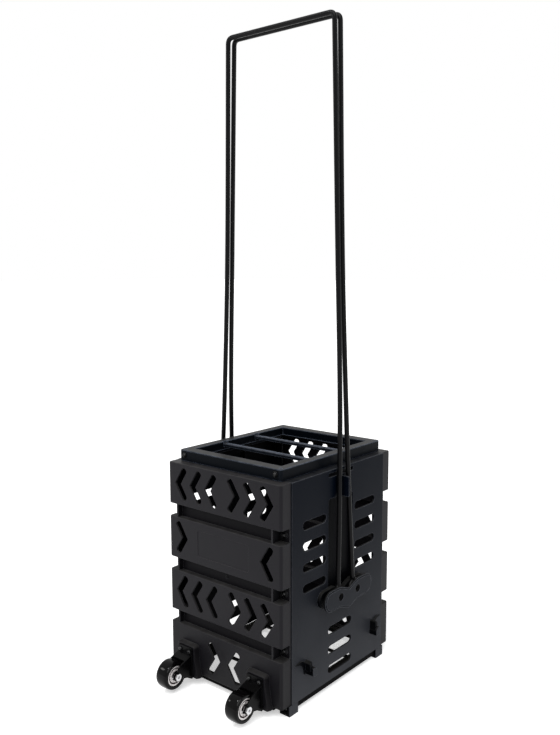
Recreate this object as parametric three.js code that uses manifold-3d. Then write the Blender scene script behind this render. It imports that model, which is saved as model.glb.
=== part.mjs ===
// Ball cart: a slotted basket with a gridded floor, two folding wire handles and two fixed wheels.
// Millimetres, +Z up from the floor, the wheels at the front (-Y), the handle pivots on the sides (X).
import * as THREE from "three";
import { mergeVertices } from "three/addons/utils/BufferGeometryUtils.js";
import Module from "manifold-3d";

const wasm = await Module();
wasm.setup();

// Fits shared by all pieces
const SEAT_GAP = 0.3; // between two pieces that touch
const OVERRUN = 4; // how far a cutter runs past the face it leaves by
const MERGE_REACH = 1e-3; // vertices closer than this are one

// Basket body
const BODY_WIDTH = 238;
const BODY_DEPTH = 293;
const BODY_CORNER = 4.5;
const BODY_WALL = 3;
const BODY_EDGE = 1.6; // rounding of the bands' top and bottom edges
const LOW_BAND_BOTTOM = 17;
const LOW_BAND_HEIGHT = 75;
const BAND_HEIGHT = 69;
const CHANNEL_HEIGHT = 21;
const UPPER_BANDS = 3;
const CHANNEL_DEPTH = 10; // how far the channels between the bands are set back
const SHELF_THICKNESS = 2.5;
const SEAM_INSET = 22.5; // from the front face to the joint with the side panels
const POCKET_WIDTH = 17; // open corner at the end of each channel
const RIB_THICKNESS = 3;
const RIB_SETBACK = 0.8; // from the band face to the rib that ends a channel

// Chevron slots of the front and back panels
const CHEVRON_HEIGHT = 57;
const CHEVRON_STROKE = 11;
const CHEVRON_ANGLE = 57; // degrees of the arms from the level
const CHEVRON_ROUNDING = 4;
const CHEVRON_LIFT = 1.3; // of a row over the middle of its band
const CHEVRON_PITCH = 33;
const CHEVRONS_IN_ROW = 3; // on each side of the middle
const CHEVRON_FIRST_TIP = 38; // tip of the innermost chevron of a row of three
const CHEVRON_PAIR_TIP = 77; // tips of the two chevrons beside the plain field
const CHEVRON_LOW_TIP = 8; // tips of the two chevrons between the wheels
const CHEVRON_LOW_RISE = 36; // height of their middle over the low band's bottom
const FIELD_WIDTH = 108;
const FIELD_HEIGHT = 42;
const FIELD_RECESS = 0.6;
const FIELD_CORNER = 3;
const PIP_RADIUS = 2.6; // moulding pip in the middle channel
const PIP_HEIGHT = 1.4;

// Side panels
const SIDE_PROUD = 1.6; // how far the side face stands out past the band ends
const SIDE_WALL = 3;
const SIDE_FLANGE_REACH = 17; // width of the flange that takes the corner screws
const SIDE_SLOT_GROOVE_GAP = 5.75; // from the groove to the near end of a slot
const SIDE_SLOT_SEAM_GAP = 26.75; // from the far end of a slot to the seam
const SIDE_SLOT_HEIGHT = 13.5;
const SIDE_SLOT_PITCH = 33;
const SIDE_SLOT_ROWS = 4;
const SIDE_SLOT_TOP = 289;
const SIDE_LOW_SLOT_LENGTH = 64;
const SIDE_LOW_SLOT_PITCH = 32.5;
const SIDE_LOW_SLOT_ROWS = 3;
const SIDE_LOW_SLOT_TOP = 100.5;

// Channel, divider and scoop for the handle wires
const GROOVE_HALF = 33;
const GROOVE_DEPTH = 6;
const GROOVE_DROP = 46; // from the body's top to the groove's top
const GROOVE_CORNER = 5;
const SCOOP_GAP = 2; // between the divider and the scoop above it
const SCOOP_HEIGHT = 6;
const DIVIDER_THICKNESS = 3;
const DIVIDER_HEIGHT = 33;
const DIVIDER_REACH = 16.4; // out from the side face
const DIVIDER_CORNER = 3;

// Handle pivots
const PIVOT_HEIGHT = 160;
const PIVOT_SPREAD = 23; // from the centre plane to each pivot
const PIVOT_OUT = 10; // from the side face to the middle of the wire
const POST_RADIUS = 7.6;
const PAD_THICKNESS = 5.4;
const PAD_ROOT = 2.2; // how deep the pad starts in the wall
const PAD_INSET = 3; // base pad outline inside the cover outline

// Pivot covers
const COVER_HALF_LENGTH = 64.5;
const COVER_LOBE_HEIGHT = 34;
const COVER_DIP = 8;
const COVER_SHOULDER = 24; // where the dip begins, from the centre plane
const COVER_THICKNESS = 3.8;
const COVER_STEP = 1; // height of the raised inner field
const COVER_STEP_INSET = 4;
const COVER_GAP = 0.6; // from the wire to the inside of the cover
const COVER_BORE = 5.8;
const COVER_BORE_DEPTH = 2.6;
const COVER_ROUNDING = 5;

// Wire handles
const WIRE_RADIUS = 4;
const EYE_SWELL = 0.15; // the wire is that much thicker where it bends round a post
const HANDLE_TOP = 1048; // middle of the crossbar wire
const HANDLE_TOP_HALF = 107.6; // middle of the leg wire at the crossbar
const HANDLE_BEND = 10;
const HANDLE_SWING = 142; // degrees from upright to folded down
const LEG_NECK_RISE = 8; // from the top of the eye to the place where the leg turns upright
const LEG_NECK_SPREAD = 19.4; // leg from the centre plane at that place
const LEG_SPREADS = [13.2, 7.9, 6, 7.2]; // leg from the centre plane, at the heights of the last list
const LEG_BOWS = [0.3, 0.3, -1.2, 0]; // leg out of its straight line across the cart, at the same heights
const LEG_HEIGHT_SHARES = [0.168, 0.35, 0.6, 1]; // of the height from pivot to crossbar

// Leg rests: the wires lie on these when the handles are folded down as legs
const REST_REACH = 14.4;
const REST_SEAM_INSET = 27.3; // from the seam to the middle of the rest
const REST_LEG_LEAN = 4.1; // degrees that the leg leans inwards at the rest
const REST_HALF_LENGTH = 7;
const REST_THICKNESS = 11;
const REST_LIP_THICKNESS = 3;
const REST_LIP_LENGTH = 16;
const REST_LIP_ROUNDING = 1;
const REST_CORNER = 2.5;

// Feet
const FOOT_REACH = 5.3; // of the outer end past the seam, under the end panel
const FOOT_LENGTH = 21;
const FOOT_WIDTH = 20;
const FOOT_WALL = 3;

// Top rim and crossbars
const RIM_SETBACK_X = 11.5; // from the body's side to the rim
const RIM_SETBACK_Y = 14.5; // from the body's face to the rim
const RIM_HEIGHT = 19;
const RIM_CORNER = 5;
const RIM_WALL = 3;
const RIM_FLANGE_X = 17.5;
const RIM_FLANGE_Y = 20.5;
const RIM_LIP_HEIGHT = 14;
const RIM_EDGE = 1.2;
const RIM_DIMPLE_RADIUS = 2.4;
const RIM_DIMPLE_DEPTH = 1.4;
const RIM_DIMPLE_INSET = 7.5;
const UPSTAND_HEIGHT = 13;
const UPSTAND_SETBACK = 16; // of a side upstand's end behind the rim opening
const BAR_SPREAD = 40;
const BAR_WIDTH = 9.5;
const BAR_HEIGHT = 5.5;
const BAR_DROP = 3.5; // of the bar top under the rim top
const BAR_ROUNDING = 1.5;

// Pick-up floor
const FLOOR_HEIGHT = 10.7;
const FLOOR_STRIP_SETBACK = 3.5; // of the front strip behind the band face
const FLOOR_STRIP_LIFT = 4; // of the front strip's underside over the side strips'
const FLOOR_STRIP_X = 25; // from the body's side to the floor opening
const FLOOR_STRIP_Y = 21.5; // from the body's face to the floor opening
const ROD_RADIUS = 3;
const ROD_COUNT = 3;
const ROD_SEAT = 10; // how deep a rod end sits in the side strip
const ROD_FIT = 0.3;

// Wheel pads on the front panel
const WHEEL_INSET = 44; // from the body's side to the middle of a wheel
const WHEEL_PAD_THICKNESS = 9.5;
const WHEEL_PAD_TOP = 67;
const WHEEL_PAD_BOTTOM = 11.5;
const WHEEL_PAD_HALF_TOP = 20.5;
const WHEEL_PAD_HALF_BOTTOM = 27.5;
const WHEEL_PAD_SHOULDER = 46;
const WHEEL_PAD_ROUNDING = 10;
const WHEEL_PAD_DRAFT = 2.4;

// Fork brackets
const FORK_SHEET = 2;
const FORK_PLATE_WIDTH = 32;
const FORK_PLATE_BOTTOM = 12;
const FORK_PLATE_TOP = 63.5;
const FORK_PLATE_CORNER = 3;
const FORK_INNER_WIDTH = 26.4;
const FORK_SHOULDER = 52.5; // height where the hood leaves the plate
const FORK_BROW_OUT = 23; // front end of the cheek's top edge, out from the plate
const FORK_BROW_HEIGHT = 44.5;
const FORK_HOOD_OUT = 14; // front end of the hood, out from the plate
const FORK_EYE_RADIUS = 8;
const FORK_HEEL_OUT = 8.5;
const FORK_HEEL_HEIGHT = 17;

// Wheels
const AXLE_OUT = 31.4; // from the plate to the axle
const AXLE_HEIGHT = 28.5;
const AXLE_RADIUS = 3;
const TYRE_RADIUS = 22.8;
const TYRE_WIDTH = 24;
const TYRE_SHOULDER = 3.4; // drop of the tread from its middle to its edge
const TYRE_BORE = 16.3;
const HUB_WIDTH = 21;
const HUB_RIM = 3.2;
const HUB_WEB_WIDTH = 12;
const HUB_BOSS_RADIUS = 9.4;
const BEARING_RADIUS = 7;
const BEARING_WIDTH = 7;
const BEARING_BORE = 3.3;

// Fasteners
const SCREW_HEAD_RADIUS = 3.1;
const SCREW_HEAD_HEIGHT = 2.2;
const SCREW_SHANK_RADIUS = 1.8;
const SCREW_HOLE_RADIUS = 2.2;
const SCREW_LENGTH = 7;
const SCREW_RELIEF = 1; // a blind hole is that much deeper than its screw is long
const SCREW_BOSS_RADIUS = 5.5;
const SCREW_BOSS_HEIGHT = 2;
const CORNER_SCREW_INSET = 9; // from the body's side to the screw
const FOOT_SCREW_HEIGHT = 9;
const RIM_SCREW_INSET = 11.5; // from the rim's side to the screw
const RIM_SCREW_DROP = 8;
const PLATE_SCREW_SPREAD = 10;
const PLATE_SCREW_INSET = 7; // from the plate's top and bottom edges
const COVER_SCREW_LENGTH = 8;
const BOLT_HEAD_RADIUS = 5;
const BOLT_HEAD_HEIGHT = 3.6;
const BOLT_TIP = 1.5; // bolt end past the nut
const NUT_HEIGHT = 4.4;

// Counts of facets
const ARC_STEPS = 2; // per rounded corner
const SLOT_STEPS = 2; // per quarter of a slot's round end
const CHEVRON_STEPS = 1; // per rounded corner of a chevron
const EDGE_STEPS = 1; // across a softened edge
const SCREW_STEPS = 6;
const BOSS_STEPS = 9;
const ROUND_STEPS = 12;
const WHEEL_STEPS = 28;
const WIRE_SIDES = 8;
const LEG_STEPS = 9;
const BEND_STEPS = 3;
const TREAD_STEPS = 3; // from the middle of the tread to its edge
const HEX_SIDES = 6;

// Heights and planes that follow from the sizes above
const bandPitch = BAND_HEIGHT + CHANNEL_HEIGHT;
const lowBandTop = LOW_BAND_BOTTOM + LOW_BAND_HEIGHT;
const bodyTop = lowBandTop + UPPER_BANDS * bandPitch;
const rimTop = bodyTop + RIM_HEIGHT;
const halfWidth = BODY_WIDTH / 2;
const halfDepth = BODY_DEPTH / 2;
const seamPlane = halfDepth - SEAM_INSET;
const channelFace = halfDepth - CHANNEL_DEPTH;
const channelInside = channelFace - BODY_WALL;
const ribOuter = halfWidth - POCKET_WIDTH;
const ribInner = ribOuter - RIB_THICKNESS;
const sideFace = halfWidth + SIDE_PROUD;
const sideInside = sideFace - SIDE_WALL;
const grooveTop = bodyTop - GROOVE_DROP;
const dividerTop = grooveTop + DIVIDER_HEIGHT;
const scoopBottom = dividerTop + SCOOP_GAP;
const scoopTop = scoopBottom + SCOOP_HEIGHT;
const slotNear = GROOVE_HALF + SIDE_SLOT_GROOVE_GAP;
const slotFar = seamPlane - SIDE_SLOT_SEAM_GAP;
const footOuter = seamPlane + FOOT_REACH;
const footInner = footOuter - FOOT_LENGTH;
const rimHalfX = halfWidth - RIM_SETBACK_X;
const rimHalfY = halfDepth - RIM_SETBACK_Y;
const rimOpenX = rimHalfX - RIM_FLANGE_X;
const rimOpenY = rimHalfY - RIM_FLANGE_Y;
const rimScrewX = rimHalfX - RIM_SCREW_INSET;
const floorOpenX = halfWidth - FLOOR_STRIP_X;
const floorOpenY = halfDepth - FLOOR_STRIP_Y;
const cornerScrewX = halfWidth - CORNER_SCREW_INSET;
const wheelX = halfWidth - WHEEL_INSET;
const wirePlane = sideFace + PIVOT_OUT;
const coverInside = wirePlane + WIRE_RADIUS + COVER_GAP;
const coverFace = coverInside + COVER_THICKNESS;
const wheelPadFace = halfDepth + WHEEL_PAD_THICKNESS;
const plateBack = wheelPadFace + SEAT_GAP;
const plateFront = plateBack + FORK_SHEET;
const axleY = plateFront + AXLE_OUT;
const forkHalf = FORK_INNER_WIDTH / 2 + FORK_SHEET;

// Materials, with the colours of the photographed cart
const paint = (name, color, roughness, metalness) =>
  Object.assign(new THREE.MeshStandardMaterial({ color, roughness, metalness }), { name });
const materials = {
  panel: paint("panel_plastic", 0x29292b, 0.55, 0),
  side: paint("side_plastic", 0x2b2d30, 0.5, 0),
  rim: paint("rim_plastic", 0x2f3033, 0.5, 0),
  wire: paint("coated_wire", 0x0c0c0d, 0.28, 0.1),
  fork: paint("bracket_steel", 0x0b0b0d, 0.45, 0.3),
  tyre: paint("tyre_black", 0x0d0c0d, 0.2, 0),
  hub: paint("hub_white", 0xe2ded9, 0.35, 0),
  steel: paint("bright_steel", 0xb9babb, 0.3, 1),
  screw: paint("dark_screw", 0x1a1a1c, 0.35, 0.8),
};

// Solids

// Turns a closed geometry into a solid that can be joined and cut.
function solidOf(geometry) {
  const bare = geometry.index ? geometry.toNonIndexed() : geometry.clone();
  bare.deleteAttribute("normal");
  bare.deleteAttribute("uv");
  const merged = mergeVertices(bare, MERGE_REACH);
  return new wasm.Manifold(
    new wasm.Mesh({
      numProp: 3,
      vertProperties: merged.attributes.position.array,
      triVerts: new Uint32Array(merged.index.array),
    }),
  );
}

// Gives a solid back as a named mesh with its own material.
function meshOf(name, solid, material) {
  const data = solid.getMesh();
  const positions = new Float32Array(data.numVert * 3);
  for (let i = 0; i < data.numVert; i++) {
    positions.set(data.vertProperties.subarray(i * data.numProp, i * data.numProp + 3), i * 3);
  }
  const geometry = new THREE.BufferGeometry();
  geometry.setAttribute("position", new THREE.BufferAttribute(positions, 3));
  geometry.setIndex(new THREE.BufferAttribute(new Uint32Array(data.triVerts), 1));
  const flat = geometry.toNonIndexed();
  flat.computeVertexNormals();
  const mesh = new THREE.Mesh(flat, material.clone());
  mesh.name = name;
  return mesh;
}

const joined = (solids) => solids.reduce((whole, piece) => whole.add(piece));
const cut = (solid, cutters) => cutters.reduce((whole, cutter) => whole.subtract(cutter), solid);

// Moves, turns or mirrors a solid by a three.js matrix, and turns mirrored faces round again.
function placed(solid, matrix) {
  const data = solid.getMesh();
  const geometry = new THREE.BufferGeometry();
  const positions = new Float32Array(data.vertProperties);
  const faces = new Uint32Array(data.triVerts);
  geometry.setAttribute("position", new THREE.BufferAttribute(positions, 3));
  geometry.applyMatrix4(matrix);
  if (matrix.determinant() < 0) {
    for (let i = 0; i < faces.length; i += 3) {
      [faces[i + 1], faces[i + 2]] = [faces[i + 2], faces[i + 1]];
    }
  }
  geometry.setIndex(new THREE.BufferAttribute(faces, 1));
  return solidOf(geometry);
}

const moved = (solid, x, y, z) => placed(solid, new THREE.Matrix4().makeTranslation(x, y, z));
const mirroredX = (solid) => placed(solid, new THREE.Matrix4().makeScale(-1, 1, 1));
const mirroredY = (solid) => placed(solid, new THREE.Matrix4().makeScale(1, -1, 1));

// Box between two corners.
function box(lowX, highX, lowY, highY, lowZ, highZ) {
  const geometry = new THREE.BoxGeometry(highX - lowX, highY - lowY, highZ - lowZ);
  geometry.translate((lowX + highX) / 2, (lowY + highY) / 2, (lowZ + highZ) / 2);
  return solidOf(geometry);
}

// Frames that stand an outline up: its own axes first, the direction of its thickness last.
const alongX = new THREE.Matrix4().makeBasis(
  new THREE.Vector3(0, 1, 0),
  new THREE.Vector3(0, 0, 1),
  new THREE.Vector3(1, 0, 0),
);
const alongMinusY = new THREE.Matrix4().makeBasis(
  new THREE.Vector3(1, 0, 0),
  new THREE.Vector3(0, 0, 1),
  new THREE.Vector3(0, -1, 0),
);
const alongZ = new THREE.Matrix4();

// Outline thickened from one level to another along the given frame's last axis.
function prism(shape, frame, from, to, steps = ARC_STEPS) {
  const geometry = new THREE.ExtrudeGeometry(shape, {
    depth: to - from,
    bevelEnabled: false,
    curveSegments: steps,
  });
  geometry.translate(0, 0, from);
  geometry.applyMatrix4(frame);
  return solidOf(geometry);
}

// The same with edges rounded or drafted inwards: by inset sideways, over rise of the thickness.
function softPrism(shape, frame, from, to, inset, rise) {
  const geometry = new THREE.ExtrudeGeometry(shape, {
    depth: to - from - 2 * rise,
    bevelEnabled: true,
    bevelSize: inset,
    bevelOffset: -inset,
    bevelThickness: rise,
    bevelSegments: EDGE_STEPS,
    curveSegments: ARC_STEPS,
  });
  geometry.translate(0, 0, from + rise);
  geometry.applyMatrix4(frame);
  return solidOf(geometry);
}

// Closed outline through corners [x, y, rounding].
function roundedOutline(corners) {
  const shape = new THREE.Shape();
  corners.forEach(([x, y, rounding], i) => {
    const before = corners[(i + corners.length - 1) % corners.length];
    const after = corners[(i + 1) % corners.length];
    const towards = ([px, py]) => {
      const length = Math.hypot(px - x, py - y);
      return [x + ((px - x) / length) * rounding, y + ((py - y) / length) * rounding];
    };
    const [startX, startY] = towards(before);
    const [endX, endY] = towards(after);
    if (i === 0) {
      shape.moveTo(startX, startY);
    } else {
      shape.lineTo(startX, startY);
    }
    if (rounding > 0) {
      shape.quadraticCurveTo(x, y, endX, endY);
    }
  });
  shape.closePath();
  return shape;
}

// Rectangle with rounded corners, between two corners.
const roundedBox = (lowX, highX, lowY, highY, rounding) =>
  roundedOutline([
    [lowX, lowY, rounding],
    [highX, lowY, rounding],
    [highX, highY, rounding],
    [lowX, highY, rounding],
  ]);

// Slot with half-round ends.
function stadium(middle, level, length, height) {
  const radius = height / 2;
  const reach = length / 2 - radius;
  const shape = new THREE.Shape();
  shape.moveTo(middle - reach, level - radius);
  shape.lineTo(middle + reach, level - radius);
  shape.absarc(middle + reach, level, radius, -Math.PI / 2, Math.PI / 2, false);
  shape.lineTo(middle - reach, level + radius);
  shape.absarc(middle - reach, level, radius, Math.PI / 2, Math.PI * 1.5, false);
  return shape;
}

// Turned solid about +Z from a profile of [radius, height] points that starts and ends on the axis
// or closes on itself.
function turned(profile, steps) {
  const points = profile.map(([radius, height]) => new THREE.Vector2(radius, height));
  const geometry = new THREE.LatheGeometry(points, steps);
  geometry.rotateX(Math.PI / 2);
  return solidOf(geometry);
}

const turnToX = new THREE.Matrix4().makeRotationY(Math.PI / 2);
const turnToMinusY = new THREE.Matrix4().makeRotationX(Math.PI / 2);

// Round bar from one level to another, lying along a turned frame.
function roundBar(radius, from, to, frame, steps = ROUND_STEPS) {
  const bar = turned([[0, from], [radius, from], [radius, to], [0, to]], steps);
  return placed(bar, frame);
}

// Sweep path whose stations are given, closer together where it bends.
class StationPath extends THREE.Curve {
  constructor(stations) {
    super();
    this.stations = stations;
  }
  getPoint(t) {
    const last = this.stations.length - 1;
    const index = Math.min(Math.floor(t * last), last - 1);
    return this.stations[index].clone().lerp(this.stations[index + 1], t * last - index);
  }
  getPointAt(u) {
    return this.getPoint(u);
  }
  getTangentAt(u) {
    const last = this.stations.length - 1;
    const index = Math.round(u * last);
    const before = this.stations[Math.max(index - 1, 0)];
    const after = this.stations[Math.min(index + 1, last)];
    return after.clone().sub(before).normalize();
  }
  getSpacedPoints() {
    return this.stations;
  }
}

// Wire along stations.
function wireAlong(stations, radius) {
  const section = new THREE.Shape();
  for (let i = 0; i <= WIRE_SIDES; i++) {
    const angle = (i / WIRE_SIDES) * 2 * Math.PI;
    const move = i === 0 ? "moveTo" : "lineTo";
    section[move](radius * Math.cos(angle), radius * Math.sin(angle));
  }
  const geometry = new THREE.ExtrudeGeometry(section, {
    steps: stations.length - 1,
    extrudePath: new StationPath(stations),
    bevelEnabled: false,
  });
  return solidOf(geometry);
}

// Fasteners

// Pan-head screw along +Z: the head's seat at zero, the shank below it.
function screwSolid(length) {
  return turned(
    [
      [0, -length],
      [SCREW_SHANK_RADIUS, -length],
      [SCREW_SHANK_RADIUS, 0],
      [SCREW_HEAD_RADIUS, 0],
      [SCREW_HEAD_RADIUS - SCREW_HEAD_HEIGHT / 2, SCREW_HEAD_HEIGHT],
      [0, SCREW_HEAD_HEIGHT],
    ],
    SCREW_STEPS,
  );
}

const screwHole = (frame, from, to) =>
  roundBar(SCREW_HOLE_RADIUS, from, to, frame, SCREW_STEPS);

// Hexagonal block along +Z with a round bore, or solid where the bore is zero.
function hexBlock(across, from, to) {
  const shape = new THREE.Shape();
  for (let i = 0; i < HEX_SIDES; i++) {
    const angle = (i / HEX_SIDES) * 2 * Math.PI;
    const move = i === 0 ? "moveTo" : "lineTo";
    shape[move](across * Math.cos(angle), across * Math.sin(angle));
  }
  return prism(shape, alongZ, from, to);
}

// Front and back panels

// Chevron outline from its tip, the arms leaning away from the tip in the given direction.
function chevronOutline(tip, level, direction) {
  const half = CHEVRON_STROKE / 2;
  const rise = CHEVRON_HEIGHT / 2;
  const angle = THREE.MathUtils.degToRad(CHEVRON_ANGLE);
  const armX = Math.cos(angle);
  const armZ = Math.sin(angle);
  const miter = half / armZ;
  const endZ = rise - half * armX;
  const endX = miter + (endZ * armX) / armZ;
  const outer = [endX - half * armZ, endZ + half * armX];
  const inner = [endX + half * armZ, endZ - half * armX];
  const corners = [
    [0, 0, 0],
    [outer[0], outer[1], CHEVRON_ROUNDING],
    [inner[0], inner[1], CHEVRON_ROUNDING],
    [2 * miter, 0, 0],
    [inner[0], -inner[1], CHEVRON_ROUNDING],
    [outer[0], -outer[1], CHEVRON_ROUNDING],
  ];
  return roundedOutline(corners.map(([x, z, rounding]) => [tip + direction * x, level + z, rounding]));
}

// Tips, levels and directions of all chevrons of one panel.
function chevronPlaces() {
  const places = [];
  const lowest = lowBandTop + CHANNEL_HEIGHT + BAND_HEIGHT / 2 + CHEVRON_LIFT;
  const bandMiddle = (row) => lowest + row * bandPitch;
  for (const row of [0, UPPER_BANDS - 1]) {
    for (let i = 0; i < CHEVRONS_IN_ROW; i++) {
      const tip = CHEVRON_FIRST_TIP + i * CHEVRON_PITCH;
      places.push([-tip, bandMiddle(row), 1], [tip, bandMiddle(row), -1]);
    }
  }
  places.push([-CHEVRON_PAIR_TIP, bandMiddle(1), -1], [CHEVRON_PAIR_TIP, bandMiddle(1), 1]);
  const low = LOW_BAND_BOTTOM + CHEVRON_LOW_RISE;
  places.push([-CHEVRON_LOW_TIP, low, -1], [CHEVRON_LOW_TIP, low, 1]);
  return places;
}

// Wall outline of a band in plan, open towards the inside of the basket.
const bandPlan = (inset, innerEdge) =>
  roundedOutline([
    [-halfWidth + inset, innerEdge, 0],
    [-halfWidth + inset, -halfDepth + inset, BODY_CORNER - inset],
    [halfWidth - inset, -halfDepth + inset, BODY_CORNER - inset],
    [halfWidth - inset, innerEdge, 0],
  ]);

// One band of the front panel, hollow, with a shelf at its top and bottom.
function band(bottom, top) {
  const past = -seamPlane + OVERRUN;
  const plan = bandPlan(0, past);
  const shell = softPrism(plan, alongZ, bottom, top, BODY_EDGE, BODY_EDGE);
  const hollow = prism(
    bandPlan(BODY_WALL, past + OVERRUN),
    alongZ,
    bottom + SHELF_THICKNESS,
    top - SHELF_THICKNESS,
  );
  const behind = box(-halfWidth, halfWidth, -seamPlane, past + OVERRUN, bottom, top);
  return cut(shell, [hollow, behind]);
}

// Set-back wall between two bands, with the ribs and screw pockets at its ends.
function channel(bottom, top) {
  const low = bottom - SHELF_THICKNESS / 2;
  const high = top + SHELF_THICKNESS / 2;
  const wall = box(-ribOuter, ribOuter, -channelFace, -seamPlane, low, high);
  const pocketBack = box(-halfWidth, halfWidth, -seamPlane - BODY_WALL, -seamPlane, low, high);
  const rib = box(ribInner, ribOuter, -halfDepth + RIB_SETBACK, -channelFace + BODY_WALL, low, high);
  const boss = placed(
    roundBar(SCREW_BOSS_RADIUS, 0, SCREW_BOSS_HEIGHT + BODY_WALL / 2, turnToMinusY, BOSS_STEPS),
    new THREE.Matrix4().makeTranslation(
      cornerScrewX,
      -seamPlane - BODY_WALL / 2,
      (bottom + top) / 2,
    ),
  );
  return joined([wall, pocketBack, rib, mirroredX(rib), boss, mirroredX(boss)]);
}

// Raised, drafted pad that carries a fork bracket.
function wheelPad() {
  const outline = roundedOutline([
    [-WHEEL_PAD_HALF_BOTTOM, WHEEL_PAD_BOTTOM, WHEEL_PAD_ROUNDING / 2],
    [WHEEL_PAD_HALF_BOTTOM, WHEEL_PAD_BOTTOM, WHEEL_PAD_ROUNDING / 2],
    [WHEEL_PAD_HALF_TOP, WHEEL_PAD_SHOULDER, WHEEL_PAD_ROUNDING],
    [WHEEL_PAD_HALF_TOP, WHEEL_PAD_TOP, WHEEL_PAD_ROUNDING / 2],
    [-WHEEL_PAD_HALF_TOP, WHEEL_PAD_TOP, WHEEL_PAD_ROUNDING / 2],
    [-WHEEL_PAD_HALF_TOP, WHEEL_PAD_SHOULDER, WHEEL_PAD_ROUNDING],
  ]);
  const back = halfDepth - BODY_WALL / 2;
  const pad = softPrism(
    outline,
    alongMinusY,
    back - WHEEL_PAD_THICKNESS,
    wheelPadFace,
    WHEEL_PAD_DRAFT,
    WHEEL_PAD_THICKNESS - BODY_WALL,
  );
  const behind = box(
    -halfWidth,
    halfWidth,
    -back,
    -back + WHEEL_PAD_THICKNESS + OVERRUN,
    0,
    WHEEL_PAD_TOP + OVERRUN,
  );
  return cut(pad, [behind]);
}

// Screw places of one fork plate, from its middle.
const plateScrews = () => {
  const rows = [FORK_PLATE_TOP - PLATE_SCREW_INSET, FORK_PLATE_BOTTOM + PLATE_SCREW_INSET];
  return rows.flatMap((z) => [-1, 1].map((side) => [side * PLATE_SCREW_SPREAD, z]));
};

// Heights of the corner screws that sit in the channel pockets.
const pocketLevels = () =>
  Array.from({ length: UPPER_BANDS }, (_, i) => lowBandTop + i * bandPitch + CHANNEL_HEIGHT / 2);

// Panel at the front or back: bands, channels, chevrons and the upstand inside the rim.
function endPanel() {
  const pieces = [band(LOW_BAND_BOTTOM, lowBandTop)];
  for (let row = 0; row < UPPER_BANDS; row++) {
    const bottom = lowBandTop + row * bandPitch;
    pieces.push(channel(bottom, bottom + CHANNEL_HEIGHT));
    pieces.push(band(bottom + CHANNEL_HEIGHT, bottom + bandPitch));
  }
  const skirtInside = rimHalfY - RIM_WALL - SEAT_GAP;
  const upstandHalf = rimScrewX + SCREW_BOSS_RADIUS;
  const lidLow = bodyTop - SHELF_THICKNESS;
  const skirtBack = skirtInside - BODY_WALL;
  pieces.push(box(-ribOuter, ribOuter, -channelFace, -skirtBack, lidLow, bodyTop));
  pieces.push(box(-upstandHalf, upstandHalf, -skirtInside, -skirtBack, lidLow, bodyTop + UPSTAND_HEIGHT));
  const pip = roundBar(PIP_RADIUS, channelFace - BODY_WALL / 2, channelFace + PIP_HEIGHT, turnToMinusY);
  pieces.push(moved(pip, 0, 0, lowBandTop + bandPitch + CHANNEL_HEIGHT / 2));
  const cavity = box(
    -ribInner,
    ribInner,
    -channelInside,
    -seamPlane + OVERRUN,
    LOW_BAND_BOTTOM - OVERRUN,
    lidLow,
  );
  const cutters = [cavity];
  for (const [tip, level, direction] of chevronPlaces()) {
    const outline = chevronOutline(tip, level, direction);
    const through = [alongMinusY, channelFace - BODY_WALL, halfDepth + OVERRUN];
    cutters.push(prism(outline, ...through, CHEVRON_STEPS));
  }
  const field = lowBandTop + CHANNEL_HEIGHT + bandPitch + BAND_HEIGHT / 2;
  const fieldPlan = roundedBox(
    -FIELD_WIDTH / 2,
    FIELD_WIDTH / 2,
    field - FIELD_HEIGHT / 2,
    field + FIELD_HEIGHT / 2,
    FIELD_CORNER,
  );
  cutters.push(prism(fieldPlan, alongMinusY, halfDepth - FIELD_RECESS, halfDepth + OVERRUN));
  const hole = screwHole(turnToMinusY, seamPlane - OVERRUN, halfDepth);
  for (const side of [-1, 1]) {
    for (const level of pocketLevels()) {
      cutters.push(moved(hole, side * cornerScrewX, 0, level));
    }
    const rimHole = screwHole(turnToMinusY, skirtBack - OVERRUN, skirtInside + OVERRUN);
    cutters.push(moved(rimHole, side * rimScrewX, 0, rimTop - RIM_SCREW_DROP));
  }
  return cut(joined(pieces), cutters);
}

// The front panel also carries the two wheel pads.
function frontPanel() {
  const pads = [-1, 1].map((side) => moved(wheelPad(), side * wheelX, 0, 0));
  const hole = screwHole(turnToMinusY, wheelPadFace - SCREW_LENGTH - SCREW_RELIEF, wheelPadFace + OVERRUN);
  const holes = [-1, 1].flatMap((side) =>
    plateScrews().map(([x, z]) => moved(hole, side * wheelX + x, 0, z)),
  );
  return cut(joined([endPanel(), ...pads]), holes);
}

// Side panels

// Outline of the pivot cover and its base pad, drawn in by the given inset.
function coverOutline(inset) {
  const end = COVER_HALF_LENGTH - inset;
  const half = COVER_LOBE_HEIGHT / 2 - inset;
  const round = half;
  const level = PIVOT_HEIGHT;
  return roundedOutline([
    [-end, level - half, round],
    [-COVER_SHOULDER, level - half, COVER_ROUNDING],
    [0, level - half - COVER_DIP, COVER_ROUNDING],
    [COVER_SHOULDER, level - half, COVER_ROUNDING],
    [end, level - half, round],
    [end, level + half, round],
    [COVER_SHOULDER, level + half, COVER_ROUNDING],
    [0, level + half - COVER_DIP, COVER_ROUNDING],
    [-COVER_SHOULDER, level + half, COVER_ROUNDING],
    [-end, level + half, round],
  ]);
}

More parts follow.
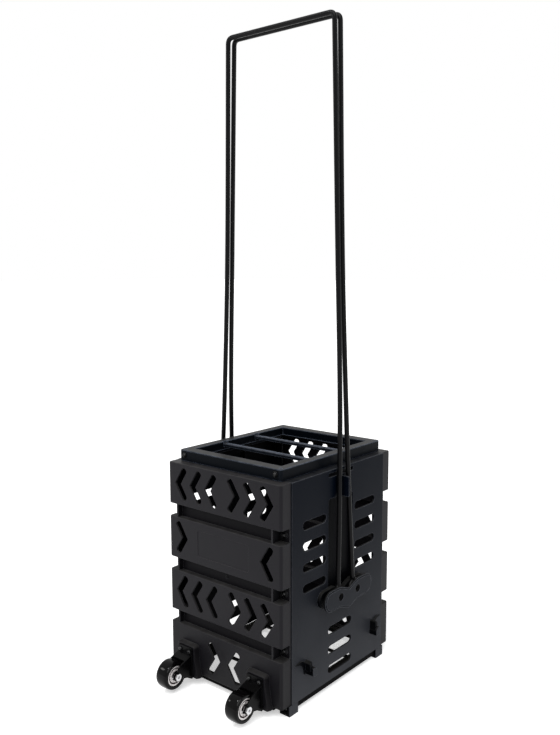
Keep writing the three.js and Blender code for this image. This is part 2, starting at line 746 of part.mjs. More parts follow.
// Leg rest at the front: a block square to the folded leg, with a lip that guides the wire onto it.
function legRest() {
  const fold = THREE.MathUtils.degToRad(180 - HANDLE_SWING + REST_LEG_LEAN);
  const distance = (seamPlane - REST_SEAM_INSET - PIVOT_SPREAD) / Math.sin(fold);
  const near = WIRE_RADIUS + SEAT_GAP * 2;
  const block = roundedBox(
    -REST_HALF_LENGTH,
    REST_HALF_LENGTH,
    near,
    near + REST_THICKNESS,
    REST_CORNER,
  );
  const lip = roundedOutline([
    [-REST_HALF_LENGTH, near + REST_THICKNESS, REST_LIP_ROUNDING],
    [-REST_HALF_LENGTH - REST_LIP_LENGTH, near + REST_THICKNESS / 2, REST_LIP_ROUNDING],
    [-REST_HALF_LENGTH - REST_LIP_LENGTH, near, REST_LIP_ROUNDING],
    [-REST_HALF_LENGTH + REST_LIP_THICKNESS, near + REST_THICKNESS / 2, REST_LIP_ROUNDING],
  ]);
  const from = sideFace - SIDE_WALL / 2;
  const bothPieces = joined([
    prism(block, alongX, from, sideFace + REST_REACH),
    prism(lip, alongX, from, sideFace + REST_REACH / 2),
  ]);
  // The block's own first axis runs along the folded leg, away from the pivot.
  const down = new THREE.Vector3(0, -Math.sin(fold), -Math.cos(fold));
  const inward = new THREE.Vector3(0, Math.cos(fold), -Math.sin(fold));
  const turn = new THREE.Matrix4().makeBasis(new THREE.Vector3(1, 0, 0), down, inward);
  const place = new THREE.Matrix4().makeTranslation(0, -PIVOT_SPREAD, PIVOT_HEIGHT);
  const shift = new THREE.Matrix4().makeTranslation(0, distance, 0);
  return placed(bothPieces, place.multiply(turn).multiply(shift));
}

// Foot at the front corner, with a pocket for the lowest corner screw.
function foot() {
  const top = LOW_BAND_BOTTOM - SEAT_GAP;
  const block = box(sideFace - FOOT_WIDTH, sideFace, -footOuter, -footInner, 0, top);
  const pocket = box(
    sideFace - FOOT_WIDTH + FOOT_WALL,
    sideFace - FOOT_WALL,
    -footOuter - OVERRUN,
    -seamPlane,
    FOOT_WALL,
    top - FOOT_WALL / 2,
  );
  const hollow = box(
    sideFace - FOOT_WIDTH + FOOT_WALL,
    sideFace - FOOT_WALL,
    -seamPlane + FOOT_WALL,
    -footInner - FOOT_WALL,
    FOOT_WALL,
    top + OVERRUN,
  );
  const tie = box(
    sideInside + FOOT_WALL / 4,
    sideFace - FOOT_WALL / 4,
    -seamPlane + FOOT_WALL,
    -footInner - FOOT_WALL / 4,
    top - FOOT_WALL / 2,
    top + FOOT_WALL / 2,
  );
  return joined([cut(block, [pocket, hollow]), tie]);
}

// Slots of a side panel: two columns beside the groove and one low column.
function sideSlots() {
  const slots = [];
  const middle = (slotNear + slotFar) / 2;
  for (let row = 0; row < SIDE_SLOT_ROWS; row++) {
    const level = SIDE_SLOT_TOP - row * SIDE_SLOT_PITCH;
    for (const side of [-1, 1]) {
      slots.push(stadium(side * middle, level, slotFar - slotNear, SIDE_SLOT_HEIGHT));
    }
  }
  for (let row = 0; row < SIDE_LOW_SLOT_ROWS; row++) {
    const level = SIDE_LOW_SLOT_TOP - row * SIDE_LOW_SLOT_PITCH;
    slots.push(stadium(0, level, SIDE_LOW_SLOT_LENGTH, SIDE_SLOT_HEIGHT));
  }
  const through = [alongX, sideInside - OVERRUN, sideFace + OVERRUN];
  return slots.map((shape) => prism(shape, ...through, SLOT_STEPS));
}

// Right side panel: plate, flanges, groove, divider, pivot posts, leg rests and feet.
function sidePanel() {
  const end = seamPlane - SEAT_GAP;
  const bottom = LOW_BAND_BOTTOM - SEAT_GAP;
  const plateOutline = roundedBox(-end, end, bottom, bodyTop, 0);
  const plate = softPrism(
    plateOutline,
    alongX,
    sideInside - BODY_EDGE,
    sideFace,
    BODY_EDGE / 2,
    BODY_EDGE / 2,
  );
  const inside = box(
    sideInside - SIDE_WALL,
    sideInside,
    -end - OVERRUN,
    end + OVERRUN,
    bottom - OVERRUN,
    bodyTop + OVERRUN,
  );
  const skirtInside = rimHalfX - RIM_WALL - SEAT_GAP;
  const skirtBack = skirtInside - BODY_WALL;
  const lidLow = bodyTop - SHELF_THICKNESS;
  const lid = box(skirtBack, sideInside + SIDE_WALL / 2, -end, end, lidLow, bodyTop);
  const upstandHalf = rimOpenY - UPSTAND_SETBACK;
  const upstand = box(
    skirtBack,
    skirtInside,
    -upstandHalf,
    upstandHalf,
    lidLow,
    bodyTop + UPSTAND_HEIGHT,
  );
  const flange = box(
    sideInside - SIDE_FLANGE_REACH,
    sideInside + SIDE_WALL / 2,
    -end,
    -end + SIDE_WALL,
    bottom - FOOT_WALL,
    bodyTop,
  );
  const grooveBack = sideFace - GROOVE_DEPTH - SIDE_WALL;
  const tray = box(
    grooveBack,
    sideInside + SIDE_WALL / 2,
    -GROOVE_HALF - SIDE_WALL,
    GROOVE_HALF + SIDE_WALL,
    PIVOT_HEIGHT - SIDE_WALL,
    scoopTop + SIDE_WALL / 2,
  );
  const grooveCut = prism(
    roundedBox(-GROOVE_HALF, GROOVE_HALF, PIVOT_HEIGHT, grooveTop, GROOVE_CORNER),
    alongX,
    sideFace - GROOVE_DEPTH,
    sideFace + OVERRUN,
  );
  const scoopCut = prism(
    roundedBox(-GROOVE_HALF, GROOVE_HALF, scoopBottom, scoopTop, DIVIDER_THICKNESS / 2),
    alongX,
    sideFace - GROOVE_DEPTH / 2,
    sideFace + OVERRUN,
  );
  const trayHollow = box(
    grooveBack - OVERRUN,
    sideInside,
    -GROOVE_HALF + SIDE_WALL,
    GROOVE_HALF - SIDE_WALL,
    grooveTop + SIDE_WALL,
    scoopBottom - SIDE_WALL,
  );
  const dividerOutline = roundedOutline([
    [sideFace - GROOVE_DEPTH, grooveTop, 0],
    [sideFace + DIVIDER_REACH, grooveTop, DIVIDER_CORNER],
    [sideFace + DIVIDER_REACH, dividerTop, DIVIDER_CORNER],
    [sideFace - GROOVE_DEPTH, dividerTop, 0],
  ]);
  const divider = prism(
    dividerOutline,
    alongMinusY,
    -DIVIDER_THICKNESS / 2,
    DIVIDER_THICKNESS / 2,
  );
  const pad = softPrism(
    coverOutline(PAD_INSET),
    alongX,
    sideFace - PAD_ROOT,
    sideFace + PAD_THICKNESS,
    BODY_EDGE,
    BODY_EDGE,
  );
  const posts = [-1, 1].map((side) =>
    placed(
      roundBar(POST_RADIUS, sideFace, coverInside - SEAT_GAP, turnToX),
      new THREE.Matrix4().makeTranslation(0, side * PIVOT_SPREAD, PIVOT_HEIGHT),
    ),
  );
  const postHoles = [-1, 1].map((side) =>
    placed(
      screwHole(turnToX, coverInside - COVER_SCREW_LENGTH - SCREW_RELIEF, coverInside + OVERRUN),
      new THREE.Matrix4().makeTranslation(0, side * PIVOT_SPREAD, PIVOT_HEIGHT),
    ),
  );
  const restPieces = [legRest(), mirroredY(legRest())];
  const feet = [foot(), mirroredY(foot())];
  const shell = cut(joined([plate, lid, upstand, flange, mirroredY(flange), tray]), [
    inside.subtract(joined([flange, mirroredY(flange), tray, lid])),
    grooveCut,
    scoopCut,
    trayHollow,
    ...sideSlots(),
  ]);
  const whole = joined([shell, divider, pad, ...posts, ...restPieces, ...feet]);
  const hole = screwHole(turnToMinusY, -footOuter, footOuter);
  const levels = [...pocketLevels(), FOOT_SCREW_HEIGHT];
  const endHoles = levels.map((level) => moved(hole, cornerScrewX, 0, level));
  const middle = box(
    sideInside - SIDE_FLANGE_REACH - OVERRUN,
    sideFace + OVERRUN,
    -footInner,
    footInner,
    0,
    bodyTop,
  );
  return cut(whole, [...endHoles.map((bore) => bore.subtract(middle)), ...postHoles]);
}

// Pivot cover for the right side, with a raised field and two deep screw bores.
function pivotCover() {
  const plate = softPrism(
    coverOutline(0),
    alongX,
    coverInside,
    coverFace - COVER_STEP,
    COVER_STEP / 2,
    COVER_STEP / 2,
  );
  const field = prism(coverOutline(COVER_STEP_INSET), alongX, coverFace - 2 * COVER_STEP, coverFace);
  const bores = [-1, 1].flatMap((side) => [
    moved(
      roundBar(COVER_BORE, coverFace - COVER_BORE_DEPTH, coverFace + OVERRUN, turnToX),
      0,
      side * PIVOT_SPREAD,
      PIVOT_HEIGHT,
    ),
    moved(
      screwHole(turnToX, coverInside - OVERRUN, coverFace),
      0,
      side * PIVOT_SPREAD,
      PIVOT_HEIGHT,
    ),
  ]);
  return cut(joined([plate, field]), bores);
}

// Handles

const eyeRadius = POST_RADIUS + SEAT_GAP + WIRE_RADIUS + EYE_SWELL;

// Stations of the wire of the front handle, from the left eye over the top to the right one.
function handleStations() {
  const rise = HANDLE_TOP - PIVOT_HEIGHT;
  const lean = (wirePlane - HANDLE_TOP_HALF) / rise;
  const eyeTop = new THREE.Vector3(wirePlane, -PIVOT_SPREAD, PIVOT_HEIGHT + eyeRadius);
  const knots = [
    new THREE.Vector3(wirePlane, -LEG_NECK_SPREAD, eyeTop.z + LEG_NECK_RISE),
    ...LEG_HEIGHT_SHARES.map(
      (share, i) =>
        new THREE.Vector3(
          wirePlane + LEG_BOWS[i] - lean * rise * share,
          -LEG_SPREADS[i],
          PIVOT_HEIGHT + rise * share,
        ),
    ),
  ];
  const top = knots[knots.length - 1];
  const leg = new THREE.CatmullRomCurve3(knots);
  const legLength = leg.getLength();
  const stop = (legLength - HANDLE_BEND) / legLength;
  const side = [eyeTop];
  for (let i = 0; i <= LEG_STEPS; i++) {
    side.push(leg.getPointAt((i / LEG_STEPS) * stop));
  }
  const bendEnd = top.clone().setX(top.x - HANDLE_BEND);
  const bend = new THREE.QuadraticBezierCurve3(side[side.length - 1], top, bendEnd);
  side.push(...bend.getPoints(BEND_STEPS).slice(1));
  const other = side.map((point) => point.clone().setX(-point.x)).reverse();
  return [...side, ...other];
}

// Front handle: one bent wire with an eye round each pivot post.
function frontHandle() {
  const ring = new THREE.TorusGeometry(eyeRadius, WIRE_RADIUS + EYE_SWELL, WIRE_SIDES, ROUND_STEPS);
  ring.rotateY(Math.PI / 2);
  ring.translate(wirePlane, -PIVOT_SPREAD, PIVOT_HEIGHT);
  const eye = solidOf(ring);
  return joined([wireAlong(handleStations(), WIRE_RADIUS), eye, mirroredX(eye)]);
}

// Rim, crossbars and floor

// Top rim: a channel-shaped frame that sits on the body and takes the two crossbars.
function topRim() {
  const outer = roundedBox(-rimHalfX, rimHalfX, -rimHalfY, rimHalfY, RIM_CORNER);
  const low = bodyTop + SEAT_GAP;
  const body = softPrism(outer, alongZ, low, rimTop, RIM_EDGE, RIM_EDGE);
  const opening = roundedBox(-rimOpenX, rimOpenX, -rimOpenY, rimOpenY, RIM_CORNER);
  const openingCut = prism(opening, alongZ, low - OVERRUN, rimTop + OVERRUN);
  const wallPlan = roundedBox(
    -rimHalfX + RIM_WALL,
    rimHalfX - RIM_WALL,
    -rimHalfY + RIM_WALL,
    rimHalfY - RIM_WALL,
    RIM_CORNER - RIM_WALL,
  );
  const lipPlan = roundedBox(
    -rimOpenX - RIM_WALL,
    rimOpenX + RIM_WALL,
    -rimOpenY - RIM_WALL,
    rimOpenY + RIM_WALL,
    RIM_CORNER + RIM_WALL,
  );
  const lip = prism(lipPlan, alongZ, rimTop - RIM_LIP_HEIGHT, rimTop);
  const hollow = prism(wallPlan, alongZ, low - OVERRUN, rimTop - RIM_WALL).subtract(lip);
  const notches = [-1, 1].map((side) =>
    box(
      -rimOpenX - RIM_WALL - OVERRUN,
      rimOpenX + RIM_WALL + OVERRUN,
      side * BAR_SPREAD - BAR_WIDTH / 2 - SEAT_GAP,
      side * BAR_SPREAD + BAR_WIDTH / 2 + SEAT_GAP,
      rimTop - BAR_DROP - BAR_HEIGHT - SEAT_GAP,
      rimTop + OVERRUN,
    ).intersect(lip.add(openingCut)),
  );
  const screwHoles = [-1, 1].map((side) =>
    moved(
      screwHole(turnToMinusY, -rimHalfY - OVERRUN, rimHalfY + OVERRUN),
      side * rimScrewX,
      0,
      rimTop - RIM_SCREW_DROP,
    ),
  );
  const dimple = roundBar(RIM_DIMPLE_RADIUS, rimTop - RIM_DIMPLE_DEPTH, rimTop + OVERRUN, alongZ);
  const dimples = [-1, 1].flatMap((x) =>
    [-1, 1].map((y) =>
      moved(
        dimple,
        x * (rimHalfX - RIM_DIMPLE_INSET),
        y * (rimHalfY - RIM_DIMPLE_INSET),
        0,
      ),
    ),
  );
  return cut(body, [openingCut, hollow, ...notches, ...screwHoles, ...dimples]);
}

// Crossbar that lies in two notches of the rim.
function crossbar(side) {
  const end = rimOpenX + RIM_WALL - SEAT_GAP;
  const top = rimTop - BAR_DROP;
  const outline = roundedBox(
    side * BAR_SPREAD - BAR_WIDTH / 2,
    side * BAR_SPREAD + BAR_WIDTH / 2,
    top - BAR_HEIGHT,
    top,
    BAR_ROUNDING,
  );
  return prism(outline, alongX, -end, end);
}

const floorTop = LOW_BAND_BOTTOM - SEAT_GAP;
const floorBottom = floorTop - FLOOR_HEIGHT;
const rodLevel = (floorTop + floorBottom) / 2;
const rodEnd = floorOpenX + ROD_SEAT;

// Places of the rods, with equal gaps between them and the frame.
function rodPlaces() {
  const gap = (2 * floorOpenY - ROD_COUNT * 2 * ROD_RADIUS) / (ROD_COUNT + 1);
  return Array.from(
    { length: ROD_COUNT },
    (_, i) => -floorOpenY + (i + 1) * gap + (2 * i + 1) * ROD_RADIUS,
  );
}

// Frame under the basket that holds the pick-up rods.
function floorFrame() {
  const strips = box(
    -sideFace + FOOT_WIDTH + SEAT_GAP,
    sideFace - FOOT_WIDTH - SEAT_GAP,
    -halfDepth + FLOOR_STRIP_SETBACK,
    halfDepth - FLOOR_STRIP_SETBACK,
    floorBottom + FLOOR_STRIP_LIFT,
    floorTop,
  );
  const sides = box(
    -sideInside + SEAT_GAP,
    sideInside - SEAT_GAP,
    -footInner + SEAT_GAP,
    footInner - SEAT_GAP,
    floorBottom,
    floorTop,
  );
  const opening = roundedBox(
    -floorOpenX,
    floorOpenX,
    -floorOpenY,
    floorOpenY,
    RIM_CORNER,
  );
  const openingCut = prism(opening, alongZ, floorBottom - OVERRUN, floorTop + OVERRUN);
  const bores = rodPlaces().map((y) =>
    moved(
      roundBar(ROD_RADIUS + ROD_FIT, -rodEnd - SEAT_GAP, rodEnd + SEAT_GAP, turnToX),
      0,
      y,
      rodLevel,
    ),
  );
  return cut(joined([strips, sides]), [openingCut, ...bores]);
}

const pickUpRod = (y) => moved(roundBar(ROD_RADIUS, -rodEnd, rodEnd, turnToX), 0, y, rodLevel);

// Wheels and their brackets

// Angle at which a line from outside touches a circle, measured at the circle's middle.
function tangentAngle(middleY, middleZ, radius, pointY, pointZ) {
  const distance = Math.hypot(pointY - middleY, pointZ - middleZ);
  return Math.atan2(pointZ - middleZ, pointY - middleY) + Math.acos(radius / distance);
}

// Fork bracket: screw plate, two cheeks and the hood between them.
function forkBracket() {
  const eyeY = -axleY;
  const browY = -plateFront - FORK_BROW_OUT;
  const heelY = -plateFront - FORK_HEEL_OUT;
  const touch = tangentAngle(eyeY, AXLE_HEIGHT, FORK_EYE_RADIUS, browY, FORK_BROW_HEIGHT);
  const cheek = new THREE.Shape();
  cheek.moveTo(-plateBack, FORK_PLATE_BOTTOM);
  cheek.lineTo(-plateBack, FORK_SHOULDER);
  cheek.lineTo(-plateFront, FORK_SHOULDER);
  cheek.lineTo(browY, FORK_BROW_HEIGHT);
  cheek.absarc(eyeY, AXLE_HEIGHT, FORK_EYE_RADIUS, touch, Math.PI * 1.5, false);
  cheek.quadraticCurveTo(heelY, FORK_HEEL_HEIGHT + FORK_SHEET, heelY, FORK_HEEL_HEIGHT);
  cheek.lineTo(-plateFront, FORK_PLATE_BOTTOM);
  const outside = prism(cheek, alongX, -forkHalf, forkHalf);
  const slope = (FORK_SHOULDER - FORK_BROW_HEIGHT) / FORK_BROW_OUT;
  const hoodUnder = FORK_SHOULDER - FORK_SHEET;
  const hoodEnd = -plateFront - FORK_HOOD_OUT;
  const far = -axleY - FORK_EYE_RADIUS - OVERRUN;
  const insideOutline = roundedOutline([
    [-plateFront, FORK_PLATE_BOTTOM - OVERRUN, 0],
    [-plateFront, hoodUnder, 0],
    [hoodEnd, hoodUnder - slope * FORK_HOOD_OUT, 0],
    [hoodEnd, FORK_SHOULDER + OVERRUN, 0],
    [far, FORK_SHOULDER + OVERRUN, 0],
    [far, FORK_PLATE_BOTTOM - OVERRUN, 0],
  ]);
  const inside = prism(insideOutline, alongX, -FORK_INNER_WIDTH / 2, FORK_INNER_WIDTH / 2);
  const plateOutline = roundedBox(
    -FORK_PLATE_WIDTH / 2,
    FORK_PLATE_WIDTH / 2,
    FORK_PLATE_BOTTOM,
    FORK_PLATE_TOP,
    FORK_PLATE_CORNER,
  );
  const plate = prism(plateOutline, alongMinusY, plateBack, plateFront);
  const holes = plateScrews().map(([x, z]) =>
    moved(screwHole(turnToMinusY, plateBack - OVERRUN, plateFront + OVERRUN), x, 0, z),
  );
  const axleHole = moved(
    roundBar(AXLE_RADIUS + SEAT_GAP, -forkHalf - OVERRUN, forkHalf + OVERRUN, turnToX),
    0,
    -axleY,
    AXLE_HEIGHT,
  );
  return cut(joined([cut(outside, [inside]), plate]), [...holes, axleHole]);
}

// Tyre with a crowned tread.
function tyre() {
  const half = TYRE_WIDTH / 2;
  const profile = [];
  for (let i = 0; i <= 2 * TREAD_STEPS; i++) {
    const share = i / TREAD_STEPS - 1;
    const drop = TYRE_SHOULDER * (1 - Math.cbrt(1 - Math.abs(share) ** 3));
    profile.push([TYRE_RADIUS - drop, share * half]);
  }
  profile.push([TYRE_BORE, half], [TYRE_BORE, -half], profile[0]);
  return placed(turned(profile, WHEEL_STEPS), turnToX);
}

// Hub with a bright rim, a dished web and a seat for the bearing.
function hub() {
  const outer = TYRE_BORE - SEAT_GAP;
  const half = HUB_WIDTH / 2;
  const web = HUB_WEB_WIDTH / 2;
  const bore = BEARING_RADIUS + SEAT_GAP;
  return placed(
    turned(
      [
        [outer, -half],
        [outer, half],
        [outer - HUB_RIM, half],
        [outer - HUB_RIM - BODY_EDGE, web],
        [HUB_BOSS_RADIUS, web],
        [HUB_BOSS_RADIUS, half - FORK_SHEET],
        [bore, half - FORK_SHEET],
        [bore, -half + FORK_SHEET],
        [HUB_BOSS_RADIUS, -half + FORK_SHEET],
        [HUB_BOSS_RADIUS, -web],
        [outer - HUB_RIM - BODY_EDGE, -web],
        [outer - HUB_RIM, -half],
        [outer, -half],
      ],
      WHEEL_STEPS,
    ),
    turnToX,
  );
}

const bearingWidth = FORK_INNER_WIDTH - 2 * SEAT_GAP;

// Bearing sleeve, flanged to fill the width between the cheeks.
function bearing() {
  const half = bearingWidth / 2;
  const neck = BEARING_RADIUS - FORK_SHEET;
  const hubHalf = BEARING_WIDTH;
  return placed(
    turned(
      [
        [BEARING_BORE, -half],
        [neck, -half],
        [neck, -hubHalf],
        [BEARING_RADIUS, -hubHalf],
        [BEARING_RADIUS, hubHalf],
        [neck, hubHalf],
        [neck, half],
        [BEARING_BORE, half],
        [BEARING_BORE, -half],
      ],
      ROUND_STEPS,
    ),
    turnToX,
  );
}

// Axle bolt from the right cheek to past the nut on the left one.
function axleBolt() {
  const seat = forkHalf + SEAT_GAP;
  const tip = -seat - NUT_HEIGHT - BOLT_TIP;
  const shank = roundBar(AXLE_RADIUS, tip, seat + BOLT_HEAD_HEIGHT / 2, alongZ);
  const head = hexBlock(BOLT_HEAD_RADIUS, seat, seat + BOLT_HEAD_HEIGHT);
  return placed(joined([shank, head]), turnToX);
}

function axleNut() {
  const seat = forkHalf + SEAT_GAP;
  const block = hexBlock(BOLT_HEAD_RADIUS, -seat - NUT_HEIGHT, -seat);
  const bore = roundBar(AXLE_RADIUS + SEAT_GAP, -seat - NUT_HEIGHT - OVERRUN, 0, alongZ);
  return placed(block.subtract(bore), turnToX);
}

// The assembly

const cart = new THREE.Group();
cart.name = "ball_cart";
const addPiece = (name, solid, material) => cart.add(meshOf(name, solid, material));

const basket = () => {
  addPiece("front_panel", frontPanel(), materials.panel);
  addPiece("back_panel", mirroredY(endPanel()), materials.panel);
  addPiece("side_panel_right", sidePanel(), materials.side);
  addPiece("side_panel_left", mirroredX(sidePanel()), materials.side);
  addPiece("top_rim", topRim(), materials.rim);
  addPiece("crossbar_front", crossbar(-1), materials.rim);
  addPiece("crossbar_back", crossbar(1), materials.rim);
  addPiece("floor_frame", floorFrame(), materials.panel);
  rodPlaces().forEach((y, i) => addPiece(`pick_up_rod_${i + 1}`, pickUpRod(y), materials.wire));
};

const handles = () => {
  addPiece("handle_front", frontHandle(), materials.wire);
  addPiece("handle_back", mirroredY(frontHandle()), materials.wire);
  const screw = placed(screwSolid(COVER_SCREW_LENGTH), turnToX);
  const seat = coverFace - COVER_BORE_DEPTH + SEAT_GAP;
  for (const [sideName, flip] of [["right", (s) => s], ["left", mirroredX]]) {
    addPiece(`pivot_cover_${sideName}`, flip(pivotCover()), materials.side);
    for (const [endName, end] of [["front", -1], ["back", 1]]) {
      const placedScrew = moved(screw, seat, end * PIVOT_SPREAD, PIVOT_HEIGHT);
      addPiece(`pivot_screw_${sideName}_${endName}`, flip(placedScrew), materials.screw);
    }
  }
};

const wheels = () => {
  const plateScrew = placed(screwSolid(SCREW_LENGTH), turnToMinusY);
  for (const [sideName, side] of [["left", -1], ["right", 1]]) {
    const x = side * wheelX;
    const atAxle = (solid) => moved(solid, x, -axleY, AXLE_HEIGHT);
    addPiece(`fork_bracket_${sideName}`, moved(forkBracket(), x, 0, 0), materials.fork);
    addPiece(`tyre_${sideName}`, atAxle(tyre()), materials.tyre);
    addPiece(`hub_${sideName}`, atAxle(hub()), materials.hub);
    addPiece(`bearing_${sideName}`, atAxle(bearing()), materials.steel);
    addPiece(`axle_bolt_${sideName}`, atAxle(axleBolt()), materials.steel);
    addPiece(`axle_nut_${sideName}`, atAxle(axleNut()), materials.steel);
    plateScrews().forEach(([screwX, z], i) => {
      const at = moved(plateScrew, x + screwX, -plateFront - SEAT_GAP, z);
      addPiece(`fork_screw_${sideName}_${i + 1}`, at, materials.screw);
    });
  }
};

const bodyScrews = () => {
  const screw = placed(screwSolid(SCREW_LENGTH), turnToMinusY);
  const pocketSeat = seamPlane + BODY_WALL + SCREW_BOSS_HEIGHT + SEAT_GAP;
  const pocketShell = seamPlane + SEAT_GAP;
  const rimSeat = rimHalfY + SEAT_GAP;
  const levels = pocketLevels().map((z) => [z, pocketSeat]);
  levels.unshift([FOOT_SCREW_HEIGHT, pocketShell]);
  for (const [endName, flip] of [["front", (s) => s], ["back", mirroredY]]) {
    for (const [sideName, side] of [["left", -1], ["right", 1]]) {
      levels.forEach(([z, seat], i) => {
        const at = moved(screw, side * cornerScrewX, -seat, z);
        addPiece(`corner_screw_${endName}_${sideName}_${i + 1}`, flip(at), materials.screw);
      });
      const at = moved(screw, side * rimScrewX, -rimSeat, rimTop - RIM_SCREW_DROP);
      addPiece(`rim_screw_${endName}_${sideName}`, flip(at), materials.screw);
    }
  }
};

basket();
handles();
wheels();
bodyScrews();

// The origin lies on the floor under the middle of the overall length.
cart.position.y = (axleY + TYRE_RADIUS - halfDepth) / 2;

export default cart;
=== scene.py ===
"""Looks of the ball cart: moulded basket, folding wire handles and fixed wheels, in a white studio.

All sizes are in millimetres in the cart's own frame: +Z up from the floor, the wheels towards -Y,
the handle pivots on the two sides (X). Meshes become metres when a piece is shown.
"""

import logging
import math
from dataclasses import dataclass, field
from enum import Enum
from typing import Callable, Iterable, Sequence

import bmesh
import bpy
from mathutils import Matrix, Vector

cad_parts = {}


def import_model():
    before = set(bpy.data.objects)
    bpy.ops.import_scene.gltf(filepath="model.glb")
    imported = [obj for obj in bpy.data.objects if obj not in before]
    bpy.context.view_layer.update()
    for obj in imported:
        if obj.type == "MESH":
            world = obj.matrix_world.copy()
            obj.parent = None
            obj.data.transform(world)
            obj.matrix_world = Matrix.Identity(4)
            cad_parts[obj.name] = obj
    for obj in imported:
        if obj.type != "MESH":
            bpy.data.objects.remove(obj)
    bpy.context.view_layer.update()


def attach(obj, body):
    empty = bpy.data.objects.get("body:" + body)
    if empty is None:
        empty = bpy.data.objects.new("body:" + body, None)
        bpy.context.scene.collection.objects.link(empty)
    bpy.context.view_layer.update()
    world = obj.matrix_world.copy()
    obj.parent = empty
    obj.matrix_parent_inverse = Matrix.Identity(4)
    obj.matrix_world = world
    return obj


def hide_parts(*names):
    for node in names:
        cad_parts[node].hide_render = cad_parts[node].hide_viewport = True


log = logging.getLogger("ball_cart")

MILLIMETRE = 0.001
SEAT_GAP = 0.3
OVERRUN = 4.0
ARC_STEPS = 6
EDGE_STEPS = 3
ROUND_STEPS = 32
SCREW_STEPS = 16
WELD = 1e-4
SMOOTH_ANGLE = 38.0
ENDS = ("front", "back")

Point = tuple[float, float]
Outline = list[Point]
Corner = tuple[float, float, float]
Colour = tuple[float, float, float]
Socket = bpy.types.NodeSocket


# Outlines


def tidied(points: Outline) -> Outline:
    """Outline without doubled points, counter-clockwise.

    Args:
        points: The points, in order.

    Returns:
        The outline.
    """
    kept = [p for i, p in enumerate(points) if math.dist(p, points[i - 1]) > WELD]
    area = sum(a[0] * b[1] - b[0] * a[1] for a, b in zip(kept, kept[1:] + kept[:1]))
    return kept if area > 0 else kept[::-1]


def arc(x: float, y: float, radius: float, start: float, turn: float, steps: int) -> Outline:
    """Points along an arc round (x, y), both ends among them; its angles are in radians."""
    angles = [start + turn * k / steps for k in range(steps + 1)]
    return [(x + radius * math.cos(a), y + radius * math.sin(a)) for a in angles]


def fillet(corners: Sequence[Corner], steps: int = ARC_STEPS) -> Outline:
    """Closed outline through corners that are rounded by true arcs.

    Args:
        corners: Places and reaches, (x, y, reach): each rounding starts that far from its corner.
        steps: Segments per rounded corner.

    Returns:
        The outline, counter-clockwise.
    """
    points: Outline = []
    for i, (x, y, reach) in enumerate(corners):
        if reach <= 0:
            points.append((x, y))
            continue
        here = Vector((x, y))
        before = (Vector(corners[i - 1][:2]) - here).normalized()
        after = (Vector(corners[(i + 1) % len(corners)][:2]) - here).normalized()
        middle = (before + after).normalized() * (reach / math.cos(before.angle(after) / 2))
        first, last = before * reach - middle, after * reach - middle
        start, stop = (math.atan2(arm.y, arm.x) for arm in (first, last))
        turn = (stop - start + math.pi) % (2 * math.pi) - math.pi
        points += arc(*(here + middle), first.length, start, turn, steps)
    return tidied(points)


def rectangle(low_x: float, high_x: float, low_y: float, high_y: float, reach: float) -> Outline:
    """Rectangle whose corners are rounded by a radius."""
    places = ((low_x, low_y), (high_x, low_y), (high_x, high_y), (low_x, high_y))
    return fillet([(x, y, reach) for x, y in places])


def stadium(middle: float, level: float, length: float, height: float) -> Outline:
    """Slot with half-round ends.

    Args:
        middle: Middle across.
        level: Middle in height.
        length: Its whole length.
        height: Its height.

    Returns:
        The outline.
    """
    radius = height / 2
    reach = length / 2 - radius
    near = arc(middle - reach, level, radius, math.pi / 2, math.pi, 2 * ARC_STEPS)
    far = arc(middle + reach, level, radius, -math.pi / 2, math.pi, 2 * ARC_STEPS)
    return tidied(near + far)


def circle(radius: float, x: float = 0, y: float = 0, steps: int = ROUND_STEPS) -> Outline:
    """Circle as an outline, with the given middle and number of sides."""
    return arc(x, y, radius, 0, 2 * math.pi, steps)[:-1]


def inset(outline: Outline, distance: float) -> Outline:
    """Outline drawn in by a distance, or let out by a negative one.

    Args:
        outline: A counter-clockwise outline.
        distance: How far each side moves towards the inside.

    Returns:
        The new outline, with as many points.
    """
    moved: Outline = []
    for i, point in enumerate(outline):
        here = Vector(point)
        before = (here - Vector(outline[i - 1])).normalized()
        after = (Vector(outline[(i + 1) % len(outline)]) - here).normalized()
        side = Vector((-before.y - after.y, before.x + after.x))
        moved.append(tuple(here + side * distance / (1 + before.dot(after))))
    return moved


class Facing(Enum):
    """Direction in which an outline is thickened: the outline's two axes, then that direction."""

    RIGHT = ((0, 1, 0), (0, 0, 1), (1, 0, 0))
    FORWARD = ((1, 0, 0), (0, 0, 1), (0, -1, 0))
    UP = ((1, 0, 0), (0, 1, 0), (0, 0, 1))

    def turn(self) -> Matrix:
        """Rotation that takes a solid made facing up to this direction."""
        return Matrix(self.value).transposed().to_4x4()


# Solids

Layers = list[tuple[float, float]]


class Combine(Enum):
    """How solids are combined."""

    UNION = "UNION"
    DIFFERENCE = "DIFFERENCE"
    INTERSECT = "INTERSECT"


def rounding(edge: float) -> Layers:
    """Steps of a rounded edge, as pairs of depth under the face and inset, face last."""
    turns = [math.pi / 2 * k / EDGE_STEPS for k in range(EDGE_STEPS + 1)]
    return [(edge * (1 - math.sin(t)), edge * (1 - math.cos(t))) for t in turns]


